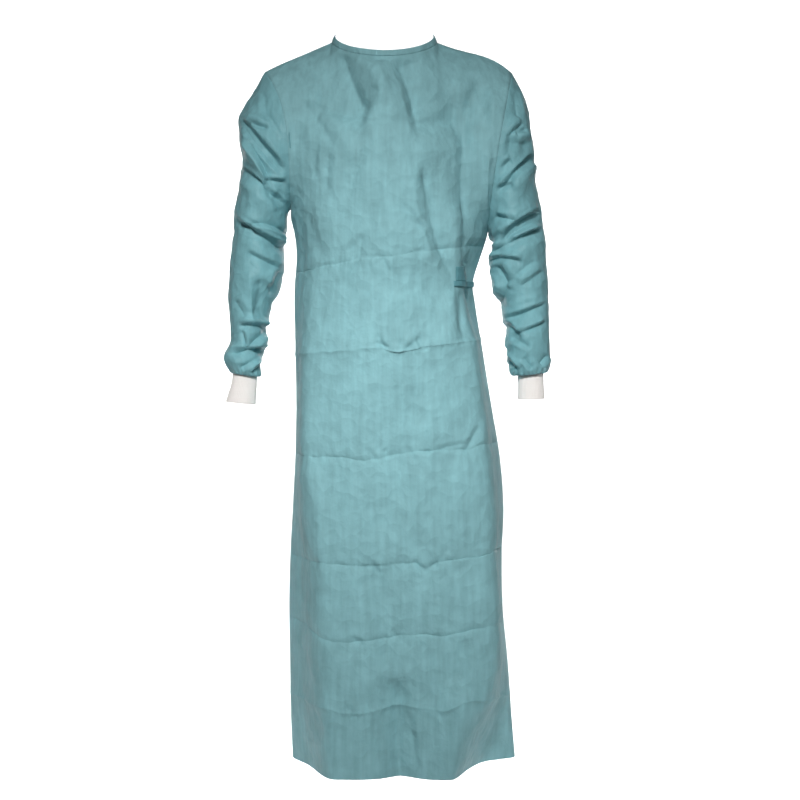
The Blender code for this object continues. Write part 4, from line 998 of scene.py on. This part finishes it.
class SURGICALGOWN_OT_binding(GownOperator):
    """Builds the narrow strip round the neck, puckered where it is sewn on"""
    bl_idname = "surgical_gown.binding"
    bl_label = "Neck binding"

    def build(self, settings):
        under = np.linspace(UNDER_START, NECK_END, 44)[:-1]
        front = np.linspace(NECK_END, NECK_START, 120)
        over = np.linspace(NECK_START, OVER_END, 56)[1:]
        edge = np.concatenate([body_point(half, across, np.full_like(across, TOP), lift)
                               for half, across, lift in ((BACK, under, 0.0), (FRONT, front, 0.0),
                                                          (BACK, over, over_lift(over)))])
        part = (np.concatenate([under, front, over]) - NECK_START) / (NECK_END - NECK_START)
        peak = np.exp(-np.minimum(part, 1.0 - part).clip(0.0) / BINDING_PEAK_REACH)
        inward = unit((np.array([NECK_CENTRE, 0.0, 0.0]) - edge) * np.array([1.0, 1.0, 0.0]))
        length = np.concatenate([[0.0], np.cumsum(np.linalg.norm(edge[1:] - edge[:-1], axis=1))])
        puckers = np.sin(length * 900.0 + 2.0 * np.sin(length * 130.0))
        puckers *= 0.35 + 0.65 * np.maximum(0.0, np.sin(length * 38.0 + 0.6))
        rows = []
        for up in np.linspace(0.0, 1.0, 9):
            lean = up * (BINDING_LEAN + BINDING_PEAK_LEAN * peak)
            swell = 0.0006 * math.sin(math.pi * up) + 0.0012 * puckers * (1.0 - up) * up * 4.0
            rise = BINDING_LIFT + up * (BINDING_HEIGHT + BINDING_PEAK * peak)
            points = edge + inward * (lean - swell)[:, None]
            points[:, 2] += rise
            rows.append(points)
        piece = cloth_piece("gown_neck_binding", np.array(rows), finish("body"), BINDING_WALL,
                            flipped=True)
        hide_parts("neck_binding")


class SURGICALGOWN_OT_tie(GownOperator):
    """Builds the waist tie and the small patch above its end"""
    bl_idname = "surgical_gown.tie"
    bl_label = "Waist tie"

    def build(self, settings):
        heights = TIE_HEIGHT + np.linspace(-0.5, 0.5, 7) * TIE_WIDTH
        start = np.linspace(TIE_START, 1.0, 60)[:-1]
        over_lap = LAP * np.maximum(0.0, 1.0 - np.arange(len(start)) / TIE_STEP_DOWN)
        end = np.linspace(1.0, TIE_END, 60)
        tie = np.concatenate([
            strip_on_body(BACK, start, heights, TIE_LIFT + over_lap, settings),
            strip_on_body(FRONT, end, heights, TIE_LIFT, settings)], axis=1)
        piece = cloth_piece("gown_waist_tie", tie, finish("tie"), TAPE_WALL, flipped=True)
        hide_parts("waist_tie")
        bottom = TIE_HEIGHT + TIE_WIDTH / 2.0 + SEAM
        tab = strip_on_body(FRONT, np.linspace(TAB_START, TAB_END, 13),
                            bottom + np.linspace(0.0, 1.0, 13) * TAB_HEIGHT, TAB_LIFT, settings)
        piece = cloth_piece("gown_tie_tab", tab, finish("tie"), TAB_WALL)
        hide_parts("tie_tab")


class SURGICALGOWN_OT_stage(GownOperator):
    """Sets up the pale floor, the soft studio lights and the camera"""
    bl_idname = "surgical_gown.stage"
    bl_label = "Stage"

    def build(self, settings):
        bend_y, bend_z, bend_reach = PAPER_FLOOR[-1]
        bend = [(bend_y + PAPER_BEND * math.sin(a), bend_z + PAPER_BEND * (1.0 - math.cos(a)),
                 bend_reach) for a in np.linspace(0.1, math.pi / 2.0, 14)]
        points = np.array([[(x * reach, y, z) for x in np.linspace(-1.0, 1.0, 9)]
                           for y, z, reach in [*PAPER_FLOOR, *bend, PAPER_TOP]])
        floor = new_object("floor", grid_mesh("floor", points), finish("floor"))
        for light in LIGHTS:
            lamp = bpy.data.lights.new(light.name, "AREA")
            lamp.shape = "RECTANGLE"
            lamp.size, lamp.size_y = light.size
            lamp.spread = math.radians(light.spread)
            lamp.energy = light.watts
            item = bpy.data.objects.new(light.name, lamp)
            item.location = light.place
            direction = Vector(light.aim) - Vector(light.place)
            item.rotation_euler = direction.to_track_quat("-Z", "Y").to_euler()
            item.visible_camera = False
            bpy.context.scene.collection.objects.link(item)
        world = bpy.data.worlds.new("studio")
        world.use_nodes = True
        background = world.node_tree.nodes["Background"]
        background.inputs["Color"].default_value = linear("#FFFFFF")
        background.inputs["Strength"].default_value = AMBIENT
        bpy.context.scene.world = world
        bpy.context.scene.view_settings.view_transform = "Standard"
        lens = bpy.data.cameras.new("camera")
        lens.sensor_width = SENSOR_WIDTH
        lens.lens = FOCAL_LENGTH
        camera = bpy.data.objects.new("camera", lens)
        camera.location = CAMERA_PLACE
        camera.rotation_euler = (math.radians(90.0 - CAMERA_DOWN), 0.0, 0.0)
        bpy.context.scene.collection.objects.link(camera)
        bpy.context.scene.camera = camera


class SURGICALGOWN_PT_panel(bpy.types.Panel):
    """Lists the gown's operators and settings"""
    bl_idname = "SURGICALGOWN_PT_panel"
    bl_label = "Surgical gown"
    bl_space_type = "VIEW_3D"
    bl_region_type = "UI"
    bl_category = "Gown"

    def draw(self, context):
        for operator in OPERATORS:
            self.layout.operator(operator.bl_idname)
        for name in SurgicalGownSettings.__annotations__:
            self.layout.prop(context.scene.surgical_gown, name)


OPERATORS = (SURGICALGOWN_OT_front, SURGICALGOWN_OT_backs, SURGICALGOWN_OT_sleeves,
             SURGICALGOWN_OT_cuffs, SURGICALGOWN_OT_binding, SURGICALGOWN_OT_tie,
             SURGICALGOWN_OT_stage)
CLASSES = (SurgicalGownSettings, *OPERATORS, SURGICALGOWN_PT_panel)


def register():
    """Registers the classes and the scene's settings."""
    for item in CLASSES:
        bpy.utils.register_class(item)
    bpy.types.Scene.surgical_gown = bpy.props.PointerProperty(type=SurgicalGownSettings)


def unregister():
    """Takes the classes and the settings away again."""
    del bpy.types.Scene.surgical_gown
    for item in reversed(CLASSES):
        bpy.utils.unregister_class(item)


def main():
    """Builds every piece and the stage."""
    register()
    bpy.ops.surgical_gown.front()
    bpy.ops.surgical_gown.backs()
    bpy.ops.surgical_gown.sleeves()
    bpy.ops.surgical_gown.cuffs()
    bpy.ops.surgical_gown.binding()
    bpy.ops.surgical_gown.tie()
    bpy.ops.surgical_gown.stage()


if __name__ == "__main__":
    main()
